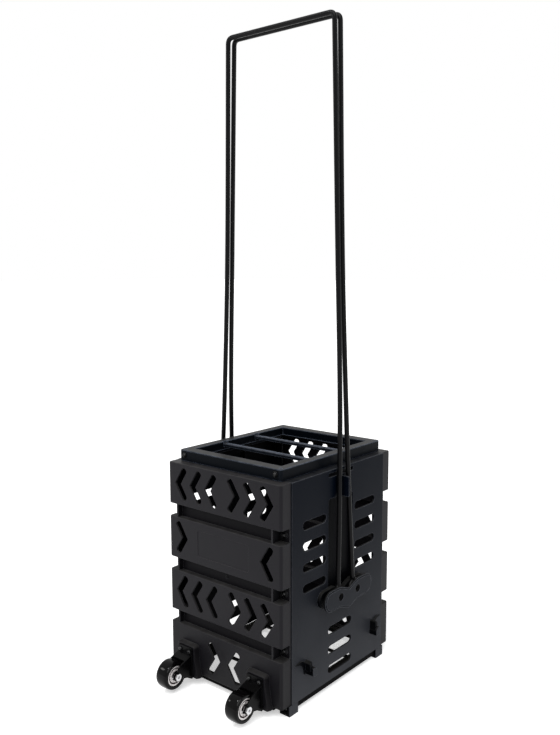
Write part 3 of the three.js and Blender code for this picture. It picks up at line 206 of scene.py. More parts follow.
class Solid:
    """A closed mesh in millimetres that can be moved, mirrored, joined and cut."""

    def __init__(self, mesh: bpy.types.Mesh) -> None:
        """Takes over a closed mesh."""
        self.mesh = mesh

    @classmethod
    def lofted(cls, rings: Sequence[Sequence[Corner]], closed: bool = False) -> "Solid":
        """Skin over rings of equal length, capped at both ends or closed on itself.

        Args:
            rings: The rings, in order.
            closed: Whether the last ring joins the first one.

        Returns:
            The solid, its faces pointing out.
        """
        work = bmesh.new()
        made = [[work.verts.new(place) for place in ring] for ring in rings]
        pairs = list(zip(made, made[1:]))
        if closed:
            pairs.append((made[-1], made[0]))
        else:
            work.faces.new(made[0][::-1])
            work.faces.new(made[-1])
        for low, high in pairs:
            for k in range(len(low)):
                after = (k + 1) % len(low)
                work.faces.new((low[k], low[after], high[after], high[k]))
        bmesh.ops.recalc_face_normals(work, faces=work.faces)
        mesh = bpy.data.meshes.new("solid")
        work.to_mesh(mesh)
        work.free()
        return cls(mesh)

    @classmethod
    def stacked(cls, outline: Outline, facing: Facing, layers: Layers) -> "Solid":
        """Outline stacked in layers, each a pair of its level and how far it is drawn in."""
        rings = [[(u, v, level) for u, v in inset(outline, drawn)] for level, drawn in layers]
        return cls.lofted(rings).placed(facing.turn())

    @classmethod
    def prism(
        cls,
        outline: Outline,
        facing: Facing,
        low: float,
        high: float,
        low_edge: float = 0,
        high_edge: float = 0,
    ) -> "Solid":
        """Outline thickened between two levels, its two edges sharp or rounded.

        Args:
            outline: The outline, counter-clockwise.
            facing: Direction of the thickness.
            low: Lower level.
            high: Upper level.
            low_edge: Rounding of the edge at the lower level.
            high_edge: Rounding of the edge at the upper level.

        Returns:
            The solid.
        """
        layers: Layers = [(low, 0.0), (high, 0.0)]
        if low_edge > 0:
            layers[:1] = [(low + depth, drawn) for depth, drawn in reversed(rounding(low_edge))]
        if high_edge > 0:
            layers[-1:] = [(high - depth, drawn) for depth, drawn in rounding(high_edge)]
        return cls.stacked(outline, facing, layers)

    @classmethod
    def opening(
        cls, outline: Outline, facing: Facing, low: float, face: float, edge: float
    ) -> "Solid":
        """Cutter for an opening whose edge at a face is rounded.

        Args:
            outline: Outline of the opening.
            facing: Direction towards the face.
            low: Level where the cutter starts.
            face: Level of the face.
            edge: Rounding of the opening's edge.

        Returns:
            The cutter, which runs past the face.
        """
        layers: Layers = [(low, 0.0)]
        layers += [(face - depth, -drawn) for depth, drawn in rounding(edge)]
        layers.append((face + OVERRUN, -edge))
        return cls.stacked(outline, facing, layers)

    @classmethod
    def box(cls, *sides: float) -> "Solid":
        """Box from its lowest and highest x, y and z.

        Args:
            sides: Lowest and highest x, y and z.

        Returns:
            The box.
        """
        low_x, high_x, low_y, high_y, low_z, high_z = sides
        outline = [(low_x, low_y), (high_x, low_y), (high_x, high_y), (low_x, high_y)]
        return cls.prism(outline, Facing.UP, low_z, high_z)

    @classmethod
    def turned(
        cls, profile: Sequence[Point], facing: Facing, steps: int, closed: bool = False
    ) -> "Solid":
        """Solid of revolution from radii and levels, whose profile may close on itself."""
        rings = [[(x, y, z) for x, y in circle(r, steps=steps)] for r, z in profile]
        return cls.lofted(rings, closed).placed(facing.turn())

    @classmethod
    def wire(cls, path: Sequence[Vector], radius: float, sides: int) -> "Solid":
        """Round wire along a path, its rings turned as little as possible.

        Args:
            path: Places along the middle of the wire.
            radius: Radius of the wire.
            sides: Number of its sides.

        Returns:
            The solid.
        """
        rings = []
        up = Vector((0, 1, 0))
        for i, place in enumerate(path):
            along = (path[min(i + 1, len(path) - 1)] - path[max(i - 1, 0)]).normalized()
            up = (up - along * up.dot(along)).normalized()
            side = along.cross(up)
            rings.append([place + up * v + side * u for u, v in circle(radius, steps=sides)])
        return cls.lofted(rings)

    def placed(self, matrix: Matrix) -> "Solid":
        """Copy that is moved, turned or mirrored, its faces still pointing out.

        Args:
            matrix: The move.

        Returns:
            The copy.
        """
        mesh = self.mesh.copy()
        mesh.transform(matrix)
        if matrix.determinant() < 0:
            mesh.flip_normals()
        return Solid(mesh)

    def moved(self, x: float, y: float, z: float) -> "Solid":
        """Copy moved by a distance along each axis."""
        return self.placed(Matrix.Translation((x, y, z)))

    def mirrored(self, axis: int) -> "Solid":
        """Copy mirrored through the middle plane across an axis: 0 is X and 1 is Y.

        Args:
            axis: 0 for X or 1 for Y.

        Returns:
            The copy.
        """
        scale = [1.0, 1.0, 1.0, 1.0]
        scale[axis] = -1.0
        return self.placed(Matrix.Diagonal(scale))

    def combined(self, others: Iterable["Solid"], how: Combine) -> "Solid":
        """Combines this solid with others.

        Args:
            others: The other solids.
            how: Whether they are joined to it, cut out of it, or cut it down to what they share.

        Returns:
            The result.
        """
        target = new_object("target", self.mesh)
        helpers = [target]
        for other in others:
            helpers.append(new_object("helper", other.mesh))
            step = target.modifiers.new("step", "BOOLEAN")
            step.object = helpers[-1]
            step.operation = how.value
            step.solver = "MANIFOLD"
        seen = target.evaluated_get(bpy.context.evaluated_depsgraph_get())
        mesh = bpy.data.meshes.new_from_object(seen)
        for helper in helpers:
            bpy.data.objects.remove(helper)
        return Solid(mesh)

    def joined(self, *others: "Solid") -> "Solid":
        """This solid and the others as one."""
        return self.combined(others, Combine.UNION)

    def cut(self, *others: "Solid") -> "Solid":
        """This solid without the others."""
        return self.combined(others, Combine.DIFFERENCE)


def new_object(name: str, data: bpy.types.ID) -> bpy.types.Object:
    """Adds an object to the scene.

    Args:
        name: Its name.
        data: Its mesh, light or camera.

    Returns:
        The object.
    """
    made = bpy.data.objects.new(name, data)
    bpy.context.scene.collection.objects.link(made)
    return made


def both(solid: Solid, axis: int = 0) -> list[Solid]:
    """A solid and its mirror image across an axis."""
    return [solid, solid.mirrored(axis)]


def by_side(solid: Solid) -> Iterable[tuple[str, Solid]]:
    """A solid of the right side and its mirror image on the left, with the sides' names."""
    return zip(("right", "left"), both(solid))


def by_end(solid: Solid) -> Iterable[tuple[str, Solid]]:
    """A solid at the front and its mirror image at the back, with the ends' names."""
    return zip(ENDS, both(solid, 1))


# Sizes that several pieces share


@dataclass(frozen=True)
class Body:
    """The cart's overall sizes and the planes that follow from them."""

    half_width: float = 119
    half_depth: float = 146.5
    wall: float = 3
    low_band_bottom: float = 17
    low_band_top: float = 92
    band_height: float = 69
    channel_height: float = 21
    upper_bands: int = 3
    shelf: float = 2.5
    seam_inset: float = 22.5
    side_proud: float = 1.6
    rim_height: float = 19
    rim_setback_x: float = 11.5
    rim_setback_y: float = 14.5
    rim_wall: float = 3
    rim_screw_inset: float = 11.5
    rim_screw_drop: float = 8
    upstand: float = 13
    corner_screw_inset: float = 9
    boss_radius: float = 5.5
    boss_height: float = 2
    foot_screw_height: float = 9
    hole_radius: float = 2.2
    pivot_height: float = 160
    pivot_spread: float = 23
    pivot_out: float = 10
    wire_radius: float = 4
    cover_gap: float = 0.6
    wheel_inset: float = 44
    pad_thickness: float = 9.5
    axle_out: float = 31.4
    axle_height: float = 28.5
    sheet: float = 2
    tyre_radius: float = 22.8
    axle_hole: float = 3.3
    post_radius: float = 7.6
    foot_inner: float = 108.3
    foot_width: float = 20
    skin: float = 1

    @property
    def pitch(self) -> float:
        """From one upper band to the next."""
        return self.band_height + self.channel_height

    @property
    def top(self) -> float:
        """Top of the body, where the rim starts."""
        return self.low_band_top + self.upper_bands * self.pitch

    @property
    def rim_top(self) -> float:
        """Top of the rim."""
        return self.top + self.rim_height

    @property
    def seam(self) -> float:
        """Plane where the end panels meet the side panels."""
        return self.half_depth - self.seam_inset

    @property
    def side_face(self) -> float:
        """Outer face of the side panels."""
        return self.half_width + self.side_proud

    @property
    def side_inside(self) -> float:
        """Inner face of the side panels."""
        return self.side_face - self.wall

    @property
    def rim_x(self) -> float:
        """Half of the rim's width."""
        return self.half_width - self.rim_setback_x

    @property
    def rim_y(self) -> float:
        """Half of the rim's depth."""
        return self.half_depth - self.rim_setback_y

    @property
    def rim_screw_x(self) -> float:
        """Distance of the rim's screws from the middle."""
        return self.rim_x - self.rim_screw_inset

    @property
    def rim_screw_level(self) -> float:
        """Height of the rim's screws."""
        return self.rim_top - self.rim_screw_drop

    @property
    def corner_screw_x(self) -> float:
        """Distance of the corner screws from the middle."""
        return self.half_width - self.corner_screw_inset

    @property
    def pocket_levels(self) -> list[float]:
        """Heights of the screws in the open corner pockets."""
        first = self.low_band_top + self.channel_height / 2
        return [first + row * self.pitch for row in range(self.upper_bands)]

    @property
    def wire_plane(self) -> float:
        """Plane of the wire eyes."""
        return self.side_face + self.pivot_out

    @property
    def cover_inside(self) -> float:
        """Inner face of the pivot covers."""
        return self.wire_plane + self.wire_radius + self.cover_gap

    @property
    def pivots(self) -> Point:
        """Places of the front and back pivots along the cart."""
        return -self.pivot_spread, self.pivot_spread

    @property
    def wheel_x(self) -> float:
        """Distance of the wheels from the middle."""
        return self.half_width - self.wheel_inset

    @property
    def pad_face(self) -> float:
        """Face of the wheel pads."""
        return self.half_depth + self.pad_thickness

    @property
    def plate_front(self) -> float:
        """Front of the bracket plates."""
        return self.pad_face + SEAT_GAP + self.sheet

    @property
    def axle_y(self) -> float:
        """Distance of the axles in front of the middle plane."""
        return self.plate_front + self.axle_out

    @property
    def shift(self) -> float:
        """How far the body lies behind the origin, which is under the middle of the whole cart."""
        return (self.axle_y + self.tyre_radius - self.half_depth) / 2


BODY = Body()


# Shader groups

FLOAT_SOCKET = "NodeSocketFloat"
GRAIN_DETAIL = 3.0
CLOUD_DETAIL = 4.0
WEAR_AND_HIGHLIGHT_DETAIL = 2.0
DUST_DETAIL = 6.0
SHADING_DETAIL = 5.0
WEAR_AND_HIGHLIGHT_SAMPLES = 4
MIX_SOCKETS = (0, 6, 7)
MIX_OUTPUT = 2


class Nodes:
    """A node tree to which nodes and links are added."""

    def __init__(self, tree: bpy.types.NodeTree) -> None:
        """Takes over a node tree."""
        self.tree = tree

    def node(self, kind: str, **settings: object) -> bpy.types.Node:
        """Adds a node.

        Args:
            kind: The node's type.
            settings: Properties of the node.

        Returns:
            The node.
        """
        made = self.tree.nodes.new(kind)
        for key, value in settings.items():
            setattr(made, key, value)
        return made

    def link(self, output: Socket, target: Socket) -> None:
        """Links two sockets."""
        self.tree.links.new(output, target)

    def sums(self, operation: str, first: object, second: object) -> Socket:
        """Adds a math node.

        Args:
            operation: What it works out.
            first: Socket or number.
            second: Socket or number.

        Returns:
            Its output.
        """
        made = self.node("ShaderNodeMath", operation=operation)
        for value, target in zip((first, second), made.inputs):
            if isinstance(value, Socket):
                self.link(value, target)
            else:
                target.default_value = float(value)
        return made.outputs[0]

    def mix(self, mask: Socket, first: object, second: Colour) -> Socket:
        """Mixes two colours by a mask.

        Args:
            mask: The mask.
            first: Colour or socket where the mask is 0.
            second: Colour where it is 1.

        Returns:
            The mixed colour.
        """
        blend = self.node("ShaderNodeMix", data_type="RGBA")
        factor_in, first_in, second_in = (blend.inputs[k] for k in MIX_SOCKETS)
        self.link(mask, factor_in)
        if isinstance(first, Socket):
            self.link(first, first_in)
        else:
            first_in.default_value = (*first, 1.0)
        second_in.default_value = (*second, 1.0)
        return blend.outputs[MIX_OUTPUT]


class Group(Nodes):
    """A shader node group with named inputs and outputs that several finishes use."""

    def __init__(self, name: str, inputs: dict[str, float], *outputs: str) -> None:
        """Makes the empty group.

        Args:
            name: Name of the group.
            inputs: Input names with their default values.
            outputs: Output names.
        """
        super().__init__(bpy.data.node_groups.new(name, "ShaderNodeTree"))
        face = self.tree.interface
        for key, value in inputs.items():
            socket = face.new_socket(key, in_out="INPUT", socket_type=FLOAT_SOCKET)
            socket.default_value = value
        for key in outputs:
            face.new_socket(key, in_out="OUTPUT", socket_type=FLOAT_SOCKET)
        self.source = self.tree.nodes.new("NodeGroupInput").outputs
        self.sink = self.tree.nodes.new("NodeGroupOutput").inputs

    def texture(self, kind: str, scale: str, **settings: object) -> bpy.types.Node:
        """Adds a texture that lies in the object's own coordinates.

        Args:
            kind: The node's type.
            scale: Name of the group's input that sets its scale.
            settings: Properties of the node.

        Returns:
            The texture node.
        """
        made = self.node(kind, **settings)
        place = self.node("ShaderNodeTexCoord")
        self.link(place.outputs["Object"], made.inputs["Vector"])
        self.link(self.source[scale], made.inputs["Scale"])
        return made

    def noise(self, scale: str, detail: float) -> Socket:
        """Adds noise and gives its value.

        Args:
            scale: Name of the group's input that sets its scale.
            detail: How much finer noise it has in it.

        Returns:
            Its output.
        """
        made = self.texture("ShaderNodeTexNoise", scale)
        made.inputs["Detail"].default_value = detail
        return made.outputs["Fac"]

    def upright(self, vector: Socket) -> Socket:
        """The Z part of a vector.

        Args:
            vector: The vector.

        Returns:
            Its Z part.
        """
        split = self.node("ShaderNodeSeparateXYZ")
        self.link(vector, split.inputs["Vector"])
        return split.outputs["Z"]

    def clamped(self, value: Socket) -> Socket:
        """A value held between 0 and 1.

        Args:
            value: The value.

        Returns:
            The value within the limits.
        """
        held = self.node("ShaderNodeClamp")
        self.link(value, held.inputs["Value"])
        return held.outputs["Result"]


def spark_grain() -> Group:
    """Fine eroded grain of a moulded surface, with soft larger clouds of gloss.

    Returns:
        The group.
    """
    inputs = {"Grain Scale": 900.0, "Cloud Scale": 18.0}
    group = Group("spark_grain", inputs, "Height", "Clouds")
    fine = group.noise("Grain Scale", GRAIN_DETAIL)
    cells = group.texture("ShaderNodeTexVoronoi", "Grain Scale", feature="SMOOTH_F1")
    height = group.sums("MULTIPLY", fine, cells.outputs["Distance"])
    group.link(height, group.sink["Height"])
    group.link(group.noise("Cloud Scale", CLOUD_DETAIL), group.sink["Clouds"])
    return group


def edge_wear_and_highlight() -> Group:
    """Mask of rubbed edges, which also places painted highlights: where a rounded normal leaves the
    surface's own one.

    Returns:
        The group.
    """
    inputs = {"Radius": 0.0012, "Amount": 1.0, "Strength": 6.0, "Patch Scale": 120.0}
    group = Group("edge_wear_and_highlight", inputs, "Mask")
    rounded = group.node("ShaderNodeBevel", samples=WEAR_AND_HIGHLIGHT_SAMPLES)
    group.link(group.source["Radius"], rounded.inputs["Radius"])
    own = group.node("ShaderNodeNewGeometry")
    agree = group.node("ShaderNodeVectorMath", operation="DOT_PRODUCT")
    group.link(rounded.outputs["Normal"], agree.inputs[0])
    group.link(own.outputs["Normal"], agree.inputs[1])
    depart = group.sums("SUBTRACT", 1.0, agree.outputs["Value"])
    strong = group.sums("MULTIPLY", depart, group.source["Strength"])
    broken = group.sums("MULTIPLY", strong, group.noise("Patch Scale", WEAR_AND_HIGHLIGHT_DETAIL))
    scaled = group.sums("MULTIPLY", broken, group.source["Amount"])
    group.link(group.clamped(scaled), group.sink["Mask"])
    return group


def settled_dust() -> Group:
    """Mask of dust on faces that look up, in soft patches.

    Returns:
        The group.
    """
    group = Group("settled_dust", {"Amount": 0.3, "Scale": 60.0}, "Mask")
    own = group.node("ShaderNodeNewGeometry")
    upward = group.sums("MAXIMUM", group.upright(own.outputs["Normal"]), 0.0)
    broken = group.sums("MULTIPLY", upward, group.noise("Scale", DUST_DETAIL))
    group.link(group.sums("MULTIPLY", broken, group.source["Amount"]), group.sink["Mask"])
    return group


def painted_height_shading() -> Group:
    """Mask of painted shading that grows from a height down to the ground, in soft patches.

    Returns:
        The group.
    """
    inputs = {"Height": 0.38, "Amount": 0.5, "Scale": 14.0}
    inputs |= {"Unevenness": 0.5, "Least": 0.75, "Curve": 2.0}
    group = Group("painted_height_shading", inputs, "Mask")
    place = group.node("ShaderNodeTexCoord")
    level = group.upright(place.outputs["Object"])
    share = group.sums("DIVIDE", level, group.source["Height"])
    depth = group.clamped(group.sums("SUBTRACT", 1.0, share))
    patches = group.noise("Scale", SHADING_DETAIL)
    uneven = group.sums("MULTIPLY", patches, group.source["Unevenness"])
    uneven = group.sums("ADD", uneven, group.source["Least"])
    curved = group.sums("POWER", depth, group.source["Curve"])
    laid = group.sums("MULTIPLY", curved, uneven)
    group.link(group.sums("MULTIPLY", laid, group.source["Amount"]), group.sink["Mask"])
    return group


class Effects:
    """The shader groups, each built once when it is first asked for."""

    makers: dict[str, Callable[[], Group]] = {
        "spark_grain": spark_grain,
        "edge_wear_and_highlight": edge_wear_and_highlight,
        "settled_dust": settled_dust,
        "painted_height_shading": painted_height_shading,
    }

    def __init__(self) -> None:
        """Starts with no group built."""
        self.made: dict[str, Group] = {}

    def place(self, nodes: Nodes, name: str, values: dict[str, float]) -> bpy.types.Node:
        """Places a group in a material with the material's own values.

        Args:
            nodes: The material's node tree.
            name: Name of the group.
            values: Values of its inputs.

        Returns:
            The group node.
        """
        if name not in self.made:
            self.made[name] = self.makers[name]()
        made = nodes.node("ShaderNodeGroup", node_tree=self.made[name].tree)
        for key, value in values.items():
            made.inputs[key].default_value = value
        return made


# Finishes

DUST_COLOUR: Colour = (0.32, 0.31, 0.29)
DUST_ROUGHNESS = 0.4


@dataclass(frozen=True)
class Finish:
    """A surface with grain, rubbed edges whose colour on some finishes paints highlights, a little
    dust, and where set a painted shading towards the ground; lengths are in metres.
    """

    name: str
    slot: str
    colour: Colour
    wear_and_highlight_colour: Colour
    roughness: float
    cloud: float = 0.06
    grain_scale: float = 900.0
    grain_depth: float = 0.00002
    wear_and_highlight: float = 0.5
    wear_and_highlight_radius: float = 0.0012
    dust: float = 0.1
    metallic: float = 0.0
    specular: float = 0.5
    # Painted shading towards the ground: its amount, its height in metres and its colour there.
    painted_shading: float = 0.0
    painted_shading_height: float = 0.38
    # By default lighter than the plastic: painted light from the floor.
    painted_shading_colour: Colour = (0.042, 0.044, 0.05)

    def build(self, effects: Effects) -> bpy.types.Material:
        """Builds the material.

        Args:
            effects: The shader groups.

        Returns:
            The material.
        """
        material = bpy.data.materials.new(self.name)
        material.use_nodes = True
        nodes = Nodes(material.node_tree)
        shader = nodes.tree.nodes["Principled BSDF"]
        shader.inputs["Metallic"].default_value = self.metallic
        shader.inputs["Specular IOR Level"].default_value = self.specular
        grain = effects.place(nodes, "spark_grain", {"Grain Scale": self.grain_scale})
        wear_and_highlight = effects.place(nodes, "edge_wear_and_highlight", {"Radius": self.wear_and_highlight_radius, "Amount": self.wear_and_highlight})
        dust = effects.place(nodes, "settled_dust", {"Amount": self.dust})
        tint = nodes.mix(wear_and_highlight.outputs["Mask"], self.colour, self.wear_and_highlight_colour)
        pale = nodes.mix(dust.outputs["Mask"], tint, DUST_COLOUR)
        # Painted shading: low down the colour drifts to the shading colour.
        if self.painted_shading > 0:
            values = {"Amount": self.painted_shading, "Height": self.painted_shading_height}
            painted_shading = effects.place(nodes, "painted_height_shading", values)
            pale = nodes.mix(painted_shading.outputs["Mask"], pale, self.painted_shading_colour)
        nodes.link(pale, shader.inputs["Base Color"])
        centred = nodes.sums("SUBTRACT", grain.outputs["Clouds"], 0.5)
        spread = nodes.sums("MULTIPLY", centred, 2 * self.cloud)
        base = nodes.sums("ADD", spread, self.roughness)
        dusty = nodes.sums("MULTIPLY", dust.outputs["Mask"], DUST_ROUGHNESS)
        nodes.link(nodes.sums("ADD", base, dusty), shader.inputs["Roughness"])
        bump = nodes.node("ShaderNodeBump")
        bump.inputs["Distance"].default_value = self.grain_depth
        nodes.link(grain.outputs["Height"], bump.inputs["Height"])
        nodes.link(bump.outputs["Normal"], shader.inputs["Normal"])
        return material


# Its low colour is painted shade: the end panels turn darker in their lowest 0.2 m.
PANEL = Finish(
    "panel_plastic",
    "panel_plastic",
    colour=(0.0078, 0.0073, 0.0094),
    wear_and_highlight_colour=(0.05, 0.05, 0.053),
    roughness=0.46,
    specular=0.11,
    painted_shading=0.95,
    painted_shading_height=0.2,
    painted_shading_colour=(0.0022, 0.002, 0.0026),
)
# Painted shade: darker and duller plastic for the channels, the inside and the sides of the wheel
# pads; its light edge colour paints highlights on the pads' edges.
CHANNEL_SHADE = Finish(
    "channel_painted_shade",
    "panel_plastic",
    colour=(0.0048, 0.0045, 0.0056),
    wear_and_highlight_colour=(0.06, 0.06, 0.066),
    roughness=0.5,
    wear_and_highlight=1.2,
    specular=0.05,
)
# Painted shade: the floor frame under the basket is near black and dull.
UNDERSIDE_SHADE = Finish(
    "floor_painted_shade",
    "panel_plastic",
    colour=(0.0012, 0.0012, 0.0014),
    wear_and_highlight_colour=(0.03, 0.03, 0.033),
    roughness=0.55,
    specular=0.02,
)
# Its light bluish edge colour paints highlights along panels, slots and covers, and it is painted
# lighter towards the floor, as if lit from it.
SIDE = Finish(
    "side_plastic",
    "side_plastic",
    colour=(0.0007, 0.002, 0.0052),
    wear_and_highlight_colour=(0.085, 0.09, 0.105),
    roughness=0.42,
    wear_and_highlight=1.3,
    wear_and_highlight_radius=0.002,
    specular=0.036,
    painted_shading=0.95,
)
# Painted shade: near black, for the groove and what lies behind the side faces, round the pivots,
# on the leg rests and in the covers' line and bores.
GROOVE_SHADE = Finish(
    "groove_painted_shade",
    "side_plastic",
    colour=(0.0008, 0.001, 0.0016),
    wear_and_highlight_colour=(0.03, 0.033, 0.04),
    roughness=0.48,
    specular=0.03,
)
# Its light bluish edge colour paints highlights along the rim's edges.
RIM = Finish(
    "rim_plastic",
    "rim_plastic",
    colour=(0.0009, 0.0018, 0.0034),
    wear_and_highlight_colour=(0.15, 0.175, 0.23),
    roughness=0.36,
    specular=0.036,
    wear_and_highlight=1.8,
    wear_and_highlight_radius=0.0024,
)
WIRE = Finish(
    "coated_wire",
    "coated_wire",
    colour=(0.002, 0.002, 0.0024),
    wear_and_highlight_colour=(0.01, 0.01, 0.01),
    roughness=0.3,
    cloud=0.04,
    grain_scale=200.0,
    grain_depth=0.00001,
    wear_and_highlight=0.05,
    dust=0.01,
    specular=0.1,
)
BRACKET = Finish(
    "bracket_steel",
    "bracket_steel",
    colour=(0.0008, 0.0008, 0.001),
    wear_and_highlight_colour=(0.03, 0.03, 0.032),
    roughness=0.24,
    grain_scale=500.0,
    grain_depth=0.00001,
    wear_and_highlight_radius=0.0005,
    dust=0.01,
    specular=0.06,
)
# Painted shade: near black, for the screws and cups in the bores of the pivot covers.
BORE_SHADE = Finish(
    "bore_painted_shade",
    "dark_screw",
    colour=(0.0008, 0.0008, 0.0009),
    wear_and_highlight_colour=(0.004, 0.004, 0.004),
    roughness=0.5,
    grain_scale=500.0,
    grain_depth=0.00001,
    wear_and_highlight=0.1,
    dust=0.0,
    specular=0.02,
)
TYRE = Finish(
    "tyre_black",
    "tyre_black",
    colour=(0.0008, 0.0006, 0.0008),
    wear_and_highlight_colour=(0.008, 0.006, 0.006),
    roughness=0.045,
    cloud=0.008,
    grain_scale=300.0,
    grain_depth=0.000002,
    wear_and_highlight=0.1,
    dust=0.004,
    specular=0.1,
)
HUB = Finish(
    "hub_white",
    "hub_white",
    colour=(0.88, 0.84, 0.83),
    wear_and_highlight_colour=(0.93, 0.91, 0.9),
    roughness=0.25,
    grain_scale=600.0,
    grain_depth=0.00001,
    wear_and_highlight=0.2,
)
HUB_SHADE = Finish(
    "hub_shade",
    "hub_white",
    colour=(0.1, 0.075, 0.078),
    wear_and_highlight_colour=(0.4, 0.36, 0.36),
    roughness=0.4,
    grain_scale=600.0,
    grain_depth=0.00001,
    wear_and_highlight=0.2,
    dust=0.05,
    specular=0.2,
)
STEEL = Finish(
    "bright_steel",
    "bright_steel",
    colour=(0.56, 0.56, 0.57),
    wear_and_highlight_colour=(0.75, 0.75, 0.75),
    roughness=0.28,
    grain_scale=1500.0,
    grain_depth=0.00001,
    wear_and_highlight=0.4,
    dust=0.05,
    metallic=1.0,
)
DARK_SCREW = Finish(
    "dark_screw",
    "dark_screw",
    colour=(0.012, 0.012, 0.013),
    wear_and_highlight_colour=(0.2, 0.2, 0.2),
    roughness=0.24,
    grain_scale=1500.0,
    grain_depth=0.000006,
    wear_and_highlight=0.8,
    wear_and_highlight_radius=0.0004,
    dust=0.02,
    metallic=0.6,
)


# Showing pieces


@dataclass(frozen=True)
class Nook:
    """A box on both sides of the middle planes: distances from them in X and Y, and heights."""

    low: Corner
    high: Corner

    def holds(self, place: Vector) -> bool:
        """Whether a place, in millimetres, lies in the box."""
        at = (abs(place.x), abs(place.y), place.z)
        return all(low < value < high for low, value, high in zip(self.low, at, self.high))


@dataclass(frozen=True)
class PaintedShade:
    """The parts of a piece that lie in nooks, and the darker finish there that paints their shade.
    """

    finish: Finish
    nooks: tuple[Nook, ...]

    @classmethod
    def behind(cls, finish: Finish, x: float, y: float, *nooks: Nook) -> "PaintedShade":
        """All that lies within two distances from the middle planes, and further nooks."""
        deep = Nook((-OVERRUN, -OVERRUN, -OVERRUN), (x, y, BODY.top - BODY.skin))
        return cls(finish, (deep, *nooks))

    def holds(self, place: Vector) -> bool:
        """Whether a place, in millimetres, lies in the recess."""
        return any(nook.holds(place) for nook in self.nooks)


class Workshop:
    """Turns solids into dressed pieces that ride on the cart's bodies."""

    def __init__(self) -> None:
        """Starts with no material built."""
        self.effects = Effects()
        self.materials: dict[str, bpy.types.Material] = {}

    def material(self, finish: Finish) -> bpy.types.Material:
        """The material of a finish, built once.

        Args:
            finish: The finish.

        Returns:
            Its material.
        """
        if finish.name not in self.materials:
            self.materials[finish.name] = finish.build(self.effects)
        return self.materials[finish.name]

    def show(
        self,
        name: str,
        solid: Solid,
        finish: Finish,
        node: str,
        recess: PaintedShade | None = None,
        body: str = "basket",
    ) -> None:
        """Shows a solid as a piece of the cart.

        Args:
            name: Name of the piece.
            solid: Its shape in millimetres.
            finish: Its finish.
            node: The CAD node that it stands for.
            recess: Where it has another, darker finish that paints shade.
            body: The body that it rides on.
        """
        place = Matrix.Translation((0, BODY.shift, 0))
        mesh = solid.placed(Matrix.Scale(MILLIMETRE, 4) @ place).mesh
        mesh.name = name
        mesh.materials.clear()
        mesh.materials.append(self.material(finish))
        if recess:
            mesh.materials.append(self.material(recess.finish))
            for side, polygon in zip(solid.mesh.polygons, mesh.polygons):
                polygon.material_index = int(recess.holds(side.center))
        mesh.shade_smooth()
        mesh.set_sharp_from_angle(angle=math.radians(SMOOTH_ANGLE))
        piece = new_object(name, mesh)
        even = piece.modifiers.new("even_shading", "WEIGHTED_NORMAL")
        even.keep_sharp = True
        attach(piece, body)
        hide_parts(node)
        log.info("%s: %d faces", name, len(mesh.polygons))


# End panels


